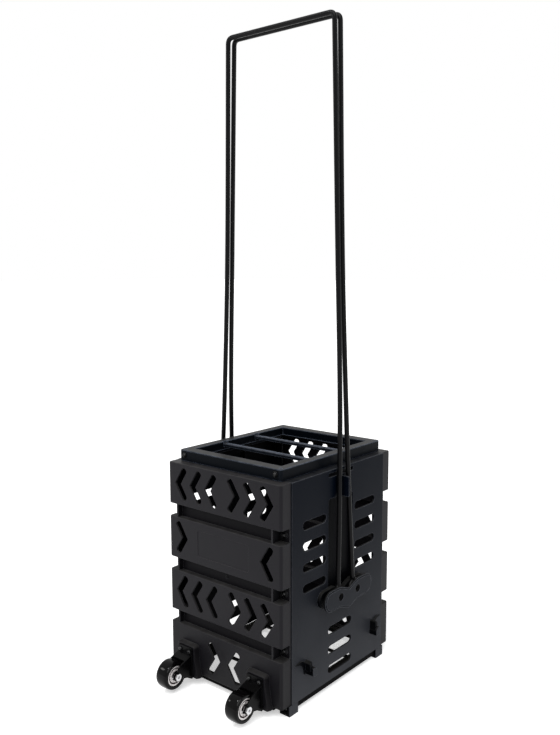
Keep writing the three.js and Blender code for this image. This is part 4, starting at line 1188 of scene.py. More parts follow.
@dataclass
class EndPanels:
    """Front and back panel: four bands with chevron slots, set-back channels, screw pockets."""

    corner: float = 4.5
    edge: float = 1.6
    channel_depth: float = 10
    pocket_width: float = 17
    rib: float = 3
    rib_setback: float = 0.8
    chevron_height: float = 57
    chevron_lift: float = 1.3
    stroke: float = 11
    angle: float = 57
    arm_rounding: float = 4.2
    tip_rounding: float = 0.5
    slot_edge: float = 0.7
    chevron_pitch: float = 33
    chevrons_in_row: int = 3
    first_tip: float = 38
    pair_tip: float = 77
    low_tip: float = 8
    low_rise: float = 36
    field_width: float = 108
    field_height: float = 42
    field_recess: float = 0.6
    field_corner: float = 3
    pip_radius: float = 2.6
    pip_height: float = 1.4
    soft_edge: float = 0.5
    pad_half_bottom: float = 27.5
    pad_half_top: float = 20.5
    pad_bottom: float = 11.5
    pad_shoulder: float = 46
    pad_top: float = 67
    pad_corner: float = 5
    pad_draft: float = 2.4
    pad_edge: float = 0.9
    pad_margin: float = 0.2
    pad_nook_top: float = 100
    screw_depth: float = 8

    @property
    def channel_face(self) -> float:
        """Outer face of the channels."""
        return BODY.half_depth - self.channel_depth

    @property
    def rib_outer(self) -> float:
        """Where the ribs end the channels."""
        return BODY.half_width - self.pocket_width

    def chevron(self, tip: float, level: float, direction: int) -> Outline:
        """Outline of one chevron slot.

        Args:
            tip: Place of its tip across the panel.
            level: Height of its middle.
            direction: Side to which its arms lean from the tip.

        Returns:
            The outline.
        """
        half = self.stroke / 2
        arm_x = math.cos(math.radians(self.angle))
        arm_z = math.sin(math.radians(self.angle))
        miter = half / arm_z
        end_z = self.chevron_height / 2 - half * arm_x
        end_x = miter + end_z * arm_x / arm_z
        outer = (end_x - half * arm_z, end_z + half * arm_x)
        inner = (end_x + half * arm_z, end_z - half * arm_x)
        corners = [
            (0, 0, self.tip_rounding),
            (*outer, self.arm_rounding),
            (*inner, self.arm_rounding),
            (2 * miter, 0, self.tip_rounding),
            (inner[0], -inner[1], self.arm_rounding),
            (outer[0], -outer[1], self.arm_rounding),
        ]
        return fillet([(tip + direction * x, level + z, reach) for x, z, reach in corners])

    def chevrons(self) -> list[Outline]:
        """Outlines of all chevron slots of one panel.

        Returns:
            The outlines.
        """
        lowest = BODY.low_band_top + BODY.channel_height + BODY.band_height / 2
        first = lowest + self.chevron_lift
        places: list[tuple[float, float, int]] = []
        for row in (0, BODY.upper_bands - 1):
            for i in range(self.chevrons_in_row):
                tip = self.first_tip + i * self.chevron_pitch
                level = first + row * BODY.pitch
                places += [(-tip, level, 1), (tip, level, -1)]
        middle = first + BODY.pitch
        low = BODY.low_band_bottom + self.low_rise
        places += [(-self.pair_tip, middle, -1), (self.pair_tip, middle, 1)]
        places += [(-self.low_tip, low, -1), (self.low_tip, low, 1)]
        return [self.chevron(*place) for place in places]

    def plan(self, drawn: float, inner: float) -> Outline:
        """Outline of a band seen from above.

        Args:
            drawn: How far it is drawn in.
            inner: Where it ends towards the inside of the basket.

        Returns:
            The outline.
        """
        side, face = BODY.half_width - drawn, BODY.half_depth - drawn
        reach = self.corner - drawn
        return fillet(
            [(-side, inner, 0), (-side, -face, reach), (side, -face, reach), (side, inner, 0)]
        )

    def band(self, bottom: float, top: float) -> Solid:
        """One hollow band with rounded edges, between two levels.

        Args:
            bottom: Its lower level.
            top: Its upper level.

        Returns:
            The band.
        """
        past = OVERRUN - BODY.seam
        shell = Solid.prism(self.plan(0, past), Facing.UP, bottom, top, self.edge, self.edge)
        hollow = Solid.prism(
            self.plan(BODY.wall, past + OVERRUN), Facing.UP, bottom + BODY.shelf, top - BODY.shelf
        )
        side = BODY.half_width + OVERRUN
        low, high = bottom - OVERRUN, top + OVERRUN
        behind = Solid.box(-side, side, -BODY.seam, past + OVERRUN, low, high)
        return shell.cut(hollow, behind)

    def channel(self, bottom: float, top: float) -> Solid:
        """Set-back wall between two bands, with its end ribs and the screw pockets.

        Args:
            bottom: Its lower level.
            top: Its upper level.

        Returns:
            The solid.
        """
        low, high = bottom - BODY.shelf / 2, top + BODY.shelf / 2
        outer, face, side = self.rib_outer, self.channel_face, BODY.half_width
        wall = Solid.box(-outer, outer, -face, -BODY.seam, low, high)
        pocket = Solid.box(-side, side, -BODY.seam - BODY.wall, -BODY.seam, low, high)
        front = self.rib_setback - BODY.half_depth
        rib = Solid.box(outer - self.rib, outer, front, BODY.wall - face, low, high)
        outline = circle(BODY.boss_radius, BODY.corner_screw_x, (bottom + top) / 2)
        low, high = BODY.seam + BODY.wall / 2, BODY.seam + BODY.wall + BODY.boss_height
        boss = Solid.prism(outline, Facing.FORWARD, low, high, high_edge=self.soft_edge)
        return wall.joined(pocket, *both(rib), *both(boss))

    def lid(self) -> list[Solid]:
        """Top shelf of the panel and the upstand inside the rim.

        Returns:
            The two solids.
        """
        skirt = BODY.rim_y - BODY.rim_wall - SEAT_GAP
        back = skirt - BODY.wall
        low = BODY.top - BODY.shelf
        half = BODY.rim_screw_x + BODY.boss_radius
        shelf = Solid.box(-self.rib_outer, self.rib_outer, -self.channel_face, -back, low, BODY.top)
        upstand = Solid.box(-half, half, -skirt, -back, low, BODY.top + BODY.upstand)
        return [shelf, upstand]

    def cutters(self) -> list[Solid]:
        """All that is cut out of the panel: inside, chevrons, plain field and screw holes.

        Returns:
            The cutters.
        """
        inner = self.rib_outer - self.rib
        inside = self.channel_face - BODY.wall
        low = BODY.low_band_bottom - OVERRUN
        lid = BODY.top - BODY.shelf
        made = [Solid.box(-inner, inner, -inside, OVERRUN - BODY.seam, low, lid)]
        for outline in self.chevrons():
            face = BODY.half_depth
            made.append(Solid.opening(outline, Facing.FORWARD, inside, face, self.slot_edge))
        middle = BODY.low_band_top + BODY.channel_height + BODY.pitch + BODY.band_height / 2
        wide, high = self.field_width / 2, self.field_height / 2
        field_plan = rectangle(-wide, wide, middle - high, middle + high, self.field_corner)
        recess = BODY.half_depth - self.field_recess
        half_edge = self.field_recess / 2
        made.append(Solid.opening(field_plan, Facing.FORWARD, recess, BODY.half_depth, half_edge))
        for x in (-BODY.corner_screw_x, BODY.corner_screw_x):
            for level in BODY.pocket_levels:
                made.append(screw_hole(x, level, BODY.seam - OVERRUN, BODY.half_depth))
        for x in (-BODY.rim_screw_x, BODY.rim_screw_x):
            skirt = BODY.rim_y - BODY.rim_wall
            low, high = skirt - 2 * OVERRUN, skirt + OVERRUN
            made.append(screw_hole(x, BODY.rim_screw_level, low, high))
        return made

    def bare_panel(self) -> Solid:
        """Panel without the wheel pads, as at the back.

        Returns:
            The panel, at the front.
        """
        pieces = [self.band(BODY.low_band_bottom, BODY.low_band_top)]
        for row in range(BODY.upper_bands):
            bottom = BODY.low_band_top + row * BODY.pitch
            pieces.append(self.channel(bottom, bottom + BODY.channel_height))
            pieces.append(self.band(bottom + BODY.channel_height, bottom + BODY.pitch))
        pieces += self.lid()
        pip = circle(self.pip_radius, 0, BODY.pocket_levels[1])
        low, high = self.channel_face - BODY.wall / 2, self.channel_face + self.pip_height
        pieces.append(Solid.prism(pip, Facing.FORWARD, low, high, high_edge=self.soft_edge))
        return pieces[0].joined(*pieces[1:]).cut(*self.cutters())

    def wheel_pad(self) -> Solid:
        """Raised pad with drafted sides that carries one bracket.

        Returns:
            The pad, at the middle of the cart.
        """
        half = [
            (self.pad_half_bottom, self.pad_bottom, self.pad_corner),
            (self.pad_half_top, self.pad_shoulder, 2 * self.pad_corner),
            (self.pad_half_top, self.pad_top, self.pad_corner),
        ]
        outline = fillet(half + [(-x, z, reach) for x, z, reach in reversed(half)])
        face = BODY.pad_face
        layers = [(BODY.half_depth - BODY.wall / 2, 0.0), (BODY.half_depth + BODY.wall, 0.0)]
        shoulder = self.pad_draft - self.pad_edge
        layers += [(face - depth, shoulder + drawn) for depth, drawn in rounding(self.pad_edge)]
        return Solid.stacked(outline, Facing.FORWARD, layers)

    def build(self, shop: "Workshop", plate_screws: Sequence[Point]) -> None:
        """Shows both panels.

        Args:
            shop: The workshop.
            plate_screws: Screw places of one bracket plate.
        """
        bare = self.bare_panel()
        # Painted shade on all that is set back inside the panel and on the sides of the wheel pads.
        near, far = (BODY.wheel_x + side * self.pad_half_bottom for side in (-1, 1))
        root, face = BODY.half_depth + self.pad_margin, BODY.pad_face - self.pad_margin
        pad = Nook((near, root, 0), (far, face, self.pad_nook_top))
        inner_x, inner_y = BODY.half_width - BODY.skin, BODY.half_depth - BODY.skin
        recess = PaintedShade.behind(CHANNEL_SHADE, inner_x, inner_y, pad)
        shop.show("back_shell", bare.mirrored(1), PANEL, "back_panel", recess)
        sides = (-BODY.wheel_x, BODY.wheel_x)
        pads = [self.wheel_pad().moved(x, 0, 0) for x in sides]
        low, high = BODY.pad_face - self.screw_depth, BODY.pad_face + OVERRUN
        holes = [screw_hole(side + x, z, low, high) for side in sides for x, z in plate_screws]
        front = bare.joined(*pads).cut(*holes)
        shop.show("front_shell", front, PANEL, "front_panel", recess)


def screw_hole(x: float, z: float, low: float, high: float) -> Solid:
    """Cutter for a screw hole that faces forward, between two levels."""
    return Solid.prism(circle(BODY.hole_radius, x, z, SCREW_STEPS), Facing.FORWARD, low, high)


# Side panels


@dataclass
class CoverShape:
    """Outline of a pivot cover: two round lobes and a dip between them."""

    half_length: float = 64.5
    lobe_height: float = 34
    dip: float = 9
    shoulder: float = 24
    rounding: float = 1.6

    def outline(self, drawn: float) -> Outline:
        """The outline, drawn in by a distance.

        Args:
            drawn: How far it is drawn in.

        Returns:
            The outline.
        """
        end, half = self.half_length - drawn, self.lobe_height / 2 - drawn
        level = BODY.pivot_height
        low, high = level - half, level + half
        return fillet(
            [
                (-end, low, half),
                (-self.shoulder, low, self.rounding),
                (0, low - self.dip, self.rounding),
                (self.shoulder, low, self.rounding),
                (end, low, half),
                (end, high, half),
                (self.shoulder, high, self.rounding),
                (0, high - self.dip, self.rounding),
                (-self.shoulder, high, self.rounding),
                (-end, high, half),
            ]
        )


@dataclass
class LegRest:
    """Peg, saddle and guiding wing on which a wire lies when the handles are legs.

    The outlines are those of the front rest on the right side: place along the cart, height, and
    how far the rounding reaches from the corner. The nook holds the painted shade on both rests,
    all but the ends of the pegs: its lowest and highest distance along the cart, each with its
    height.
    """

    reach: float = 14.4
    saddle_reach: float = 11.6
    wing_reach: float = 2
    edge: float = 1.1
    edge_margin: float = 0.6
    nook: tuple[Point, Point] = ((74, 45), (118, 90))
    peg: tuple[Corner, ...] = (
        (-90, 53, 3.2),
        (-79, 52, 3.6),
        (-79, 62.5, 2.4),
        (-82.5, 66.5, 2.2),
        (-90, 67, 2),
    )
    saddle: tuple[Corner, ...] = (
        (-93, 62, 0),
        (-94.4, 73.9, 0.8),
        (-90.4, 78.2, 0.8),
        (-88.6, 76, 1),
        (-87.4, 62, 0),
    )
    wing: tuple[Corner, ...] = (
        (-89, 57, 0),
        (-89, 69, 0),
        (-92, 71, 1),
        (-98.5, 78, 2.5),
        (-105, 80, 2),
        (-117, 77.4, 0.6),
        (-106, 74.4, 3),
        (-99.5, 69.5, 3),
        (-96.5, 62, 2),
        (-95, 55, 1),
    )

    def build(self, further: float) -> Solid:
        """The front rest of the right side, its peg moved away from the pivots by a distance.

        Args:
            further: How far the peg is moved.

        Returns:
            The rest.
        """
        peg = [(y - further, z, reach) for y, z, reach in self.peg]
        root, face = BODY.side_face - BODY.wall / 2, BODY.side_face
        parts = [
            Solid.prism(fillet(outline), Facing.RIGHT, root, face + reach, high_edge=edge)
            for outline, reach, edge in (
                (peg, self.reach, self.edge),
                (self.saddle, self.saddle_reach, self.edge / 2),
                (self.wing, self.wing_reach, self.edge / 2),
            )
        ]
        return parts[0].joined(*parts[1:])


@dataclass
class SidePanels:
    """Both side panels: plate, flanges, groove, divider, pivot posts, leg rests and feet."""

    edge: float = 0.8
    flange_reach: float = 17
    slot_edge: float = 0.7
    slot_near: float = 38.75
    slot_far: float = 97.25
    slot_height: float = 13.5
    slot_top: float = 289
    slot_pitch: float = 33
    slot_rows: int = 4
    low_slot_length: float = 64
    low_slot_top: float = 100.5
    low_slot_pitch: float = 32.5
    low_slot_rows: int = 3
    groove_half: float = 33
    groove_depth: float = 6
    groove_top: float = 316
    groove_corner: float = 5
    divider_top: float = 349
    divider_reach: float = 16.4
    divider_thickness: float = 3
    divider_corner: float = 3
    scoop_bottom: float = 351
    scoop_top: float = 357
    pad_inset: float = 3
    pad_root: float = 2.2
    pad_thickness: float = 5.4
    pad_edge: float = 1.6
    post_screw: float = 9
    upstand_setback: float = 16
    rim_opening_y: float = 111.5
    foot_outer: float = 129.3
    foot_wall: float = 3
    rest: LegRest = field(default_factory=LegRest)
    back_rest_further: float = 8
    nook_margin: float = 0.2
    pivot_nook: float = 25
    cover: CoverShape = field(default_factory=CoverShape)

    @property
    def end(self) -> float:
        """Half of the panel's length."""
        return BODY.seam - SEAT_GAP

    @property
    def bottom(self) -> float:
        """Lower edge of the panel."""
        return BODY.low_band_bottom - SEAT_GAP

    def shell(self) -> Solid:
        """Plate with its flanges, upstand and the tray behind the groove.

        Returns:
            The right plate.
        """
        inside, face, wall = BODY.side_inside, BODY.side_face, BODY.wall
        end, bottom, top = self.end, self.bottom, BODY.top
        plate = Solid.prism(
            rectangle(-end, end, bottom, top, 0),
            Facing.RIGHT,
            inside - self.edge,
            face,
            high_edge=self.edge,
        )
        long, low, high = end + OVERRUN, bottom - OVERRUN, top + OVERRUN
        plate = plate.cut(Solid.box(inside - wall, inside, -long, long, low, high))
        skirt = BODY.rim_x - BODY.rim_wall - SEAT_GAP
        back, lid_low = skirt - wall, top - BODY.shelf
        lap = inside + wall / 2
        lid = Solid.box(back, lap, -end, end, lid_low, top)
        half = self.rim_opening_y - self.upstand_setback
        upstand = Solid.box(back, skirt, -half, half, lid_low, top + BODY.upstand)
        low = bottom - self.foot_wall
        flange = Solid.box(inside - self.flange_reach, lap, -end, wall - end, low, top)
        back, half = face - self.groove_depth - wall, self.groove_half + wall
        low, high = BODY.pivot_height - wall, self.scoop_top + wall / 2
        tray = Solid.box(back, lap, -half, half, low, high)
        return plate.joined(lid, upstand, tray, *both(flange, 1)).cut(*self.hollows())

    def hollows(self) -> list[Solid]:
        """Groove, scoop, hollow behind the divider, and all slots.

        Returns:
            The cutters.
        """
        face, wall, half = BODY.side_face, BODY.wall, self.groove_half
        groove = rectangle(-half, half, BODY.pivot_height, self.groove_top, self.groove_corner)
        scoop = rectangle(
            -half, half, self.scoop_bottom, self.scoop_top, self.divider_thickness / 2
        )
        back = face - self.groove_depth
        low, high = self.groove_top + wall, self.scoop_bottom - wall
        made = [
            Solid.opening(groove, Facing.RIGHT, back, face, self.slot_edge),
            Solid.opening(scoop, Facing.RIGHT, face - self.groove_depth / 2, face, self.slot_edge),
            Solid.box(back - wall - OVERRUN, BODY.side_inside, wall - half, half - wall, low, high),
        ]
        low = BODY.side_inside - OVERRUN
        for outline in self.slots():
            made.append(Solid.opening(outline, Facing.RIGHT, low, face, self.slot_edge))
        return made

    def slots(self) -> list[Outline]:
        """Outlines of the slots: two columns beside the groove and one low column.

        Returns:
            The outlines.
        """
        middle = (self.slot_near + self.slot_far) / 2
        length = self.slot_far - self.slot_near
        made = []
        for row in range(self.slot_rows):
            level = self.slot_top - row * self.slot_pitch
            made += [stadium(y, level, length, self.slot_height) for y in (-middle, middle)]
        for row in range(self.low_slot_rows):
            level = self.low_slot_top - row * self.low_slot_pitch
            made.append(stadium(0, level, self.low_slot_length, self.slot_height))
        return made

    def divider(self) -> Solid:
        """Upright plate between the wires at the top of the groove.

        Returns:
            The divider.
        """
        face, half = BODY.side_face, self.divider_thickness / 2
        root, end = face - self.groove_depth, face + self.divider_reach
        outline = fillet(
            [
                (root, self.groove_top, 0),
                (end, self.groove_top, self.divider_corner),
                (end, self.divider_top, self.divider_corner),
                (root, self.divider_top, 0),
            ]
        )
        edge = self.edge / 2
        return Solid.prism(outline, Facing.FORWARD, -half, half, edge, edge)

    def posts(self) -> list[Solid]:
        """Base pad and the two posts that carry the wire eyes.

        Returns:
            The pad and the posts.
        """
        face = BODY.side_face
        pad = self.cover.outline(self.pad_inset)
        low, high = face - self.pad_root, face + self.pad_thickness
        made = [Solid.prism(pad, Facing.RIGHT, low, high, high_edge=self.pad_edge)]
        for y in BODY.pivots:
            post = circle(BODY.post_radius, y, BODY.pivot_height)
            end = BODY.cover_inside - SEAT_GAP
            made.append(Solid.prism(post, Facing.RIGHT, face, end, high_edge=self.edge / 2))
        return made

    def foot(self) -> Solid:
        """Foot at the front corner, with a pocket for the lowest corner screw.

        Returns:
            The foot.
        """
        face, wall, top = BODY.side_face, self.foot_wall, self.bottom
        near, edge = face - BODY.foot_width, self.edge
        plan = rectangle(near, face, -self.foot_outer, -BODY.foot_inner, edge)
        block = Solid.prism(plan, Facing.UP, 0, top, edge)
        low, high = near + wall, face - wall
        pocket = Solid.box(low, high, -self.foot_outer - OVERRUN, -BODY.seam, wall, top - wall / 2)
        hollow = Solid.box(
            low, high, wall - BODY.seam, -BODY.foot_inner - wall, wall, top + OVERRUN
        )
        low, high, far = BODY.side_inside + wall / 4, face - wall / 4, -BODY.foot_inner - wall / 4
        tie = Solid.box(low, high, wall - BODY.seam, far, top - wall / 2, top + wall / 2)
        return block.cut(pocket, hollow).joined(tie)

    def holes(self) -> list[Solid]:
        """Screw holes in the posts and in the end flanges.

        Returns:
            The cutters.
        """
        made = []
        outside = BODY.cover_inside
        for y in BODY.pivots:
            hole = circle(BODY.hole_radius, y, BODY.pivot_height, SCREW_STEPS)
            low, high = outside - self.post_screw, outside + OVERRUN
            made.append(Solid.prism(hole, Facing.RIGHT, low, high))
        low, high = BODY.foot_inner, BODY.half_depth
        for level in (*BODY.pocket_levels, BODY.foot_screw_height):
            for ends in ((low, high), (-high, -low)):
                made.append(screw_hole(BODY.corner_screw_x, level, *ends))
        return made

    def build(self, shop: "Workshop") -> None:
        """Shows both side panels.

        Args:
            shop: The workshop.
        """
        pieces = [self.divider(), *self.posts(), *both(self.foot(), 1)]
        pieces.append(self.rest.build(0))
        pieces.append(self.rest.build(self.back_rest_further).mirrored(1))
        panel = self.shell().joined(*pieces).cut(*self.holes())
        # Painted shade on the groove and what lies behind the side face, on the base pad and posts
        # round the pivots, and on the leg rests.
        face = BODY.side_face
        root = face + self.nook_margin
        low, high = BODY.pivot_height - self.pivot_nook, BODY.pivot_height + self.pivot_nook
        pivot = Nook((root, 0, low), (face + BODY.wire_plane, self.cover.half_length, high))
        (near, low), (far, high) = self.rest.nook
        rest = Nook((root, near, low), (face + self.rest.reach - self.rest.edge_margin, far, high))
        recess = PaintedShade.behind(GROOVE_SHADE, face - BODY.skin, BODY.half_depth, pivot, rest)
        for name, side in by_side(panel):
            node = f"side_panel_{name}"
            shop.show(f"side_{name}_shell", side, SIDE, node, recess)


@dataclass
class PivotCovers:
    """Dipped bars over the handle eyes, with a raised field and two deep screw bores."""

    thickness: float = 3.8
    step: float = 1
    step_inset: float = 3
    line_width: float = 1.2
    line_depth: float = 1
    edge: float = 0.5
    bore: float = 6.3
    bore_depth: float = 2.6
    shape: CoverShape = field(default_factory=CoverShape)

    @property
    def face(self) -> float:
        """Outer face of the raised field."""
        return BODY.cover_inside + self.thickness

    def build(self, shop: "Workshop") -> None:
        """Shows both covers.

        Args:
            shop: The workshop.
        """
        low, face = BODY.cover_inside, self.face
        plate = Solid.prism(
            self.shape.outline(0), Facing.RIGHT, low, face - self.step, self.edge, self.edge
        )
        field_plan = self.shape.outline(self.step_inset)
        root, edge = face - 2 * self.step, self.edge / 2
        raised = Solid.prism(field_plan, Facing.RIGHT, root, face, high_edge=edge)
        cutters = []
        for y in BODY.pivots:
            bore = circle(self.bore, y, BODY.pivot_height)
            hole = circle(BODY.hole_radius, y, BODY.pivot_height, SCREW_STEPS)
            floor = face - self.bore_depth
            cutters.append(Solid.opening(bore, Facing.RIGHT, floor, face, self.edge))
            cutters.append(Solid.prism(hole, Facing.RIGHT, low - OVERRUN, face))
        line_plan = self.shape.outline(self.step_inset - self.line_width)
        line = Solid.prism(line_plan, Facing.RIGHT, face - self.step - self.line_depth, face)
        line = line.cut(Solid.prism(field_plan, Facing.RIGHT, low, face + OVERRUN))
        cover = plate.joined(raised).cut(*cutters, line)
        # Painted shade on what lies deeper than the plate's face: its sides, the line round the
        # field and the bores.
        recess = PaintedShade.behind(GROOVE_SHADE, face - self.step - self.line_depth / 4, BODY.half_depth)
        for name, side in by_side(cover):
            node = f"pivot_cover_{name}"
            shop.show(f"cover_{name}", side, SIDE, node, recess)


# Handles


@dataclass
class Handles:
    """Two handles, each one bent wire with an eye round each pivot post."""

    eye_swell: float = 0.15
    neck_turn: float = 15
    neck_spread: float = 19.4
    neck_rise: float = 10
    neck_steps: int = 10
    top: float = 1048
    top_half: float = 107.6
    bend: float = 10
    spreads: tuple[float, ...] = (13.2, 7.9, 6, 7.2)
    bows: tuple[float, ...] = (0.3, 0.3, -1.2, 0)
    shares: tuple[float, ...] = (0.168, 0.35, 0.6, 1)
    leg_steps: int = 48
    bend_steps: int = 10
    sides: int = 16
    eye_steps: int = 32

    @property
    def eye(self) -> float:
        """Radius of the middle of an eye's wire."""
        return BODY.post_radius + SEAT_GAP + BODY.wire_radius + self.eye_swell

    def neck(self) -> list[Vector]:
        """Places along the wire's turn from the top of the eye to the upright leg.

        Returns:
            The places.
        """
        turn, x = math.radians(self.neck_turn), BODY.wire_plane
        start = Vector((x, -BODY.pivot_spread, BODY.pivot_height))
        start += Vector((0, -math.sin(turn), math.cos(turn))) * self.eye
        corner = Vector((x, -self.neck_spread, start.z))
        corner.z += (corner.y - start.y) * math.tan(turn)
        end = Vector((x, -self.neck_spread, BODY.pivot_height + self.eye + self.neck_rise))
        return curve(start, corner, end, self.neck_steps)

    def leg(self) -> list[Vector]:
        """Places along the right leg of the front handle, up to where the top bend starts.

        Returns:
            The places.
        """
        rise = self.top - BODY.pivot_height
        foot = (self.eye + self.neck_rise) / rise
        knots = [(foot, self.neck_spread), *zip(self.shares, self.spreads)]
        bows = [(foot, 0), *zip(self.shares, self.bows)]
        places = self.neck()[:-1]
        stop = 1 - self.bend / rise
        for k in range(self.leg_steps + 1):
            share = knots[0][0] + (stop - knots[0][0]) * k / self.leg_steps
            x = BODY.wire_plane + (self.top_half - BODY.wire_plane) * share + flowing(bows, share)
            places.append(Vector((x, -flowing(knots, share), BODY.pivot_height + rise * share)))
        return places

    def build(self, shop: "Workshop") -> None:
        """Shows both handles.

        Args:
            shop: The workshop.
        """
        side = self.leg()
        start, top = side[-1], Vector((self.top_half, -self.spreads[-1], self.top))
        side += curve(start, top, top - Vector((self.bend, 0, 0)), self.bend_steps)[1:]
        path = side + [Vector((-p.x, p.y, p.z)) for p in reversed(side)]
        wire = Solid.wire(path, BODY.wire_radius, self.sides)
        section = circle(BODY.wire_radius + self.eye_swell, self.eye, 0, self.sides)
        ring = Solid.turned(section, Facing.RIGHT, self.eye_steps, closed=True)
        eye = ring.moved(BODY.wire_plane, -BODY.pivot_spread, BODY.pivot_height)
        handle = wire.joined(*both(eye))
        for name, solid in by_end(handle):
            body = f"handle_{name}"
            shop.show(f"wire_{name}", solid, WIRE, body, body=body)


def curve(start: Vector, corner: Vector, end: Vector, steps: int) -> list[Vector]:
    """Bend, as places, that leaves its start and meets its end in line with a corner."""
    shares = [k / steps for k in range(steps + 1)]
    return [start * (1 - t) ** 2 + corner * 2 * t * (1 - t) + end * t * t for t in shares]


def flowing(knots: Sequence[Point], x: float) -> float:
    """Value at x of a smooth curve through knots.

    Args:
        knots: Pairs of x and value, in order.
        x: Where the value is wanted.

    Returns:
        The value.
    """
    last = len(knots) - 1
    slopes = []
    for i in range(len(knots)):
        before, after = knots[max(i - 1, 0)], knots[min(i + 1, last)]
        slopes.append((after[1] - before[1]) / (after[0] - before[0]))
    i = next((k for k in range(last) if x <= knots[k + 1][0]), last - 1)
    (x0, y0), (x1, y1) = knots[i], knots[i + 1]
    width = x1 - x0
    t = (x - x0) / width
    held = y0 * (1 + 2 * t) * (1 - t) ** 2 + y1 * t * t * (3 - 2 * t)
    return held + width * t * (1 - t) * (slopes[i] * (1 - t) - slopes[i + 1] * t)


# Rim, crossbars and floor


@dataclass
class Rim:
    """Top rim, a channel-shaped frame on the body, and the two crossbars that lie in it."""

    corner: float = 5
    opening_corner: float = 1.6
    edge: float = 1.2
    flange_x: float = 16
    flange_y: float = 19.5
    lip_height: float = 14
    dimple: float = 2.4
    dimple_depth: float = 1.4
    dimple_inset: float = 7.5
    bar_spread: float = 40
    bar_width: float = 9.5
    bar_height: float = 5.5
    bar_drop: float = 3.5
    bar_edge: float = 1.5
    bar_ridge: float = 2.3
    bar_trough: float = 1
    bar_end: float = 6

    def frame(self) -> Solid:
        """The rim itself.

        Returns:
            The rim.
        """
        x, y, wall, corner = BODY.rim_x, BODY.rim_y, BODY.rim_wall, self.corner
        low, top = BODY.top + SEAT_GAP, BODY.rim_top
        open_x, open_y = x - self.flange_x, y - self.flange_y
        outer = Solid.prism(
            rectangle(-x, x, -y, y, corner), Facing.UP, low, top, self.edge, self.edge
        )
        walls = rectangle(wall - x, x - wall, wall - y, y - wall, corner - wall)
        lip_x, lip_y = open_x + wall, open_y + wall
        lip_plan = rectangle(-lip_x, lip_x, -lip_y, lip_y, corner + wall)
        lip = Solid.prism(lip_plan, Facing.UP, top - self.lip_height, top - wall / 2)
        opening = rectangle(-open_x, open_x, -open_y, open_y, self.opening_corner)
        cutters = [Solid.opening(opening, Facing.UP, low - OVERRUN, top, self.edge)]
        for side in (-1, 1):
            middle, half = side * self.bar_spread, self.bar_width / 2 + SEAT_GAP
            floor = top - self.bar_drop - self.bar_height - SEAT_GAP
            near, far = middle - half, middle + half
            cutters.append(Solid.box(-lip_x, lip_x, near, far, floor, top + OVERRUN))
            far = y + OVERRUN
            cutters.append(screw_hole(side * BODY.rim_screw_x, BODY.rim_screw_level, -far, far))
            for end in (-1, 1):
                place = (side * (x - self.dimple_inset), end * (y - self.dimple_inset))
                dimple = circle(self.dimple, *place)
                depth = top - self.dimple_depth
                cutters.append(Solid.opening(dimple, Facing.UP, depth, top, self.edge / 4))
        hollow = Solid.prism(walls, Facing.UP, low - OVERRUN, top - wall)
        return outer.cut(hollow).joined(lip).cut(*cutters)

    def crossbar(self, side: int) -> Solid:
        """Crossbar at the front (-1) or back (1).

        Args:
            side: The end where it lies.

        Returns:
            The crossbar.
        """
        end = BODY.rim_x - self.flange_x + BODY.rim_wall - SEAT_GAP
        top = BODY.rim_top - self.bar_drop
        middle, half = side * self.bar_spread, self.bar_width / 2
        near, far = middle - half, middle + half
        outline = rectangle(near, far, top - self.bar_height, top, self.bar_edge)
        near, far, floor = near + self.bar_ridge, far - self.bar_ridge, top - self.bar_trough
        trough = rectangle(near, far, floor, top + OVERRUN, self.bar_trough / 2)
        cutter = Solid.prism(trough, Facing.RIGHT, self.bar_end - end, end - self.bar_end)
        return Solid.prism(outline, Facing.RIGHT, -end, end).cut(cutter)

    def build(self, shop: "Workshop") -> None:
        """Shows the rim and the crossbars.

        Args:
            shop: The workshop.
        """
        shop.show("rim_frame", self.frame(), RIM, "top_rim")
        for name, side in zip(ENDS, (-1, 1)):
            bar = self.crossbar(side)
            shop.show(f"bar_{name}", bar, RIM, f"crossbar_{name}")


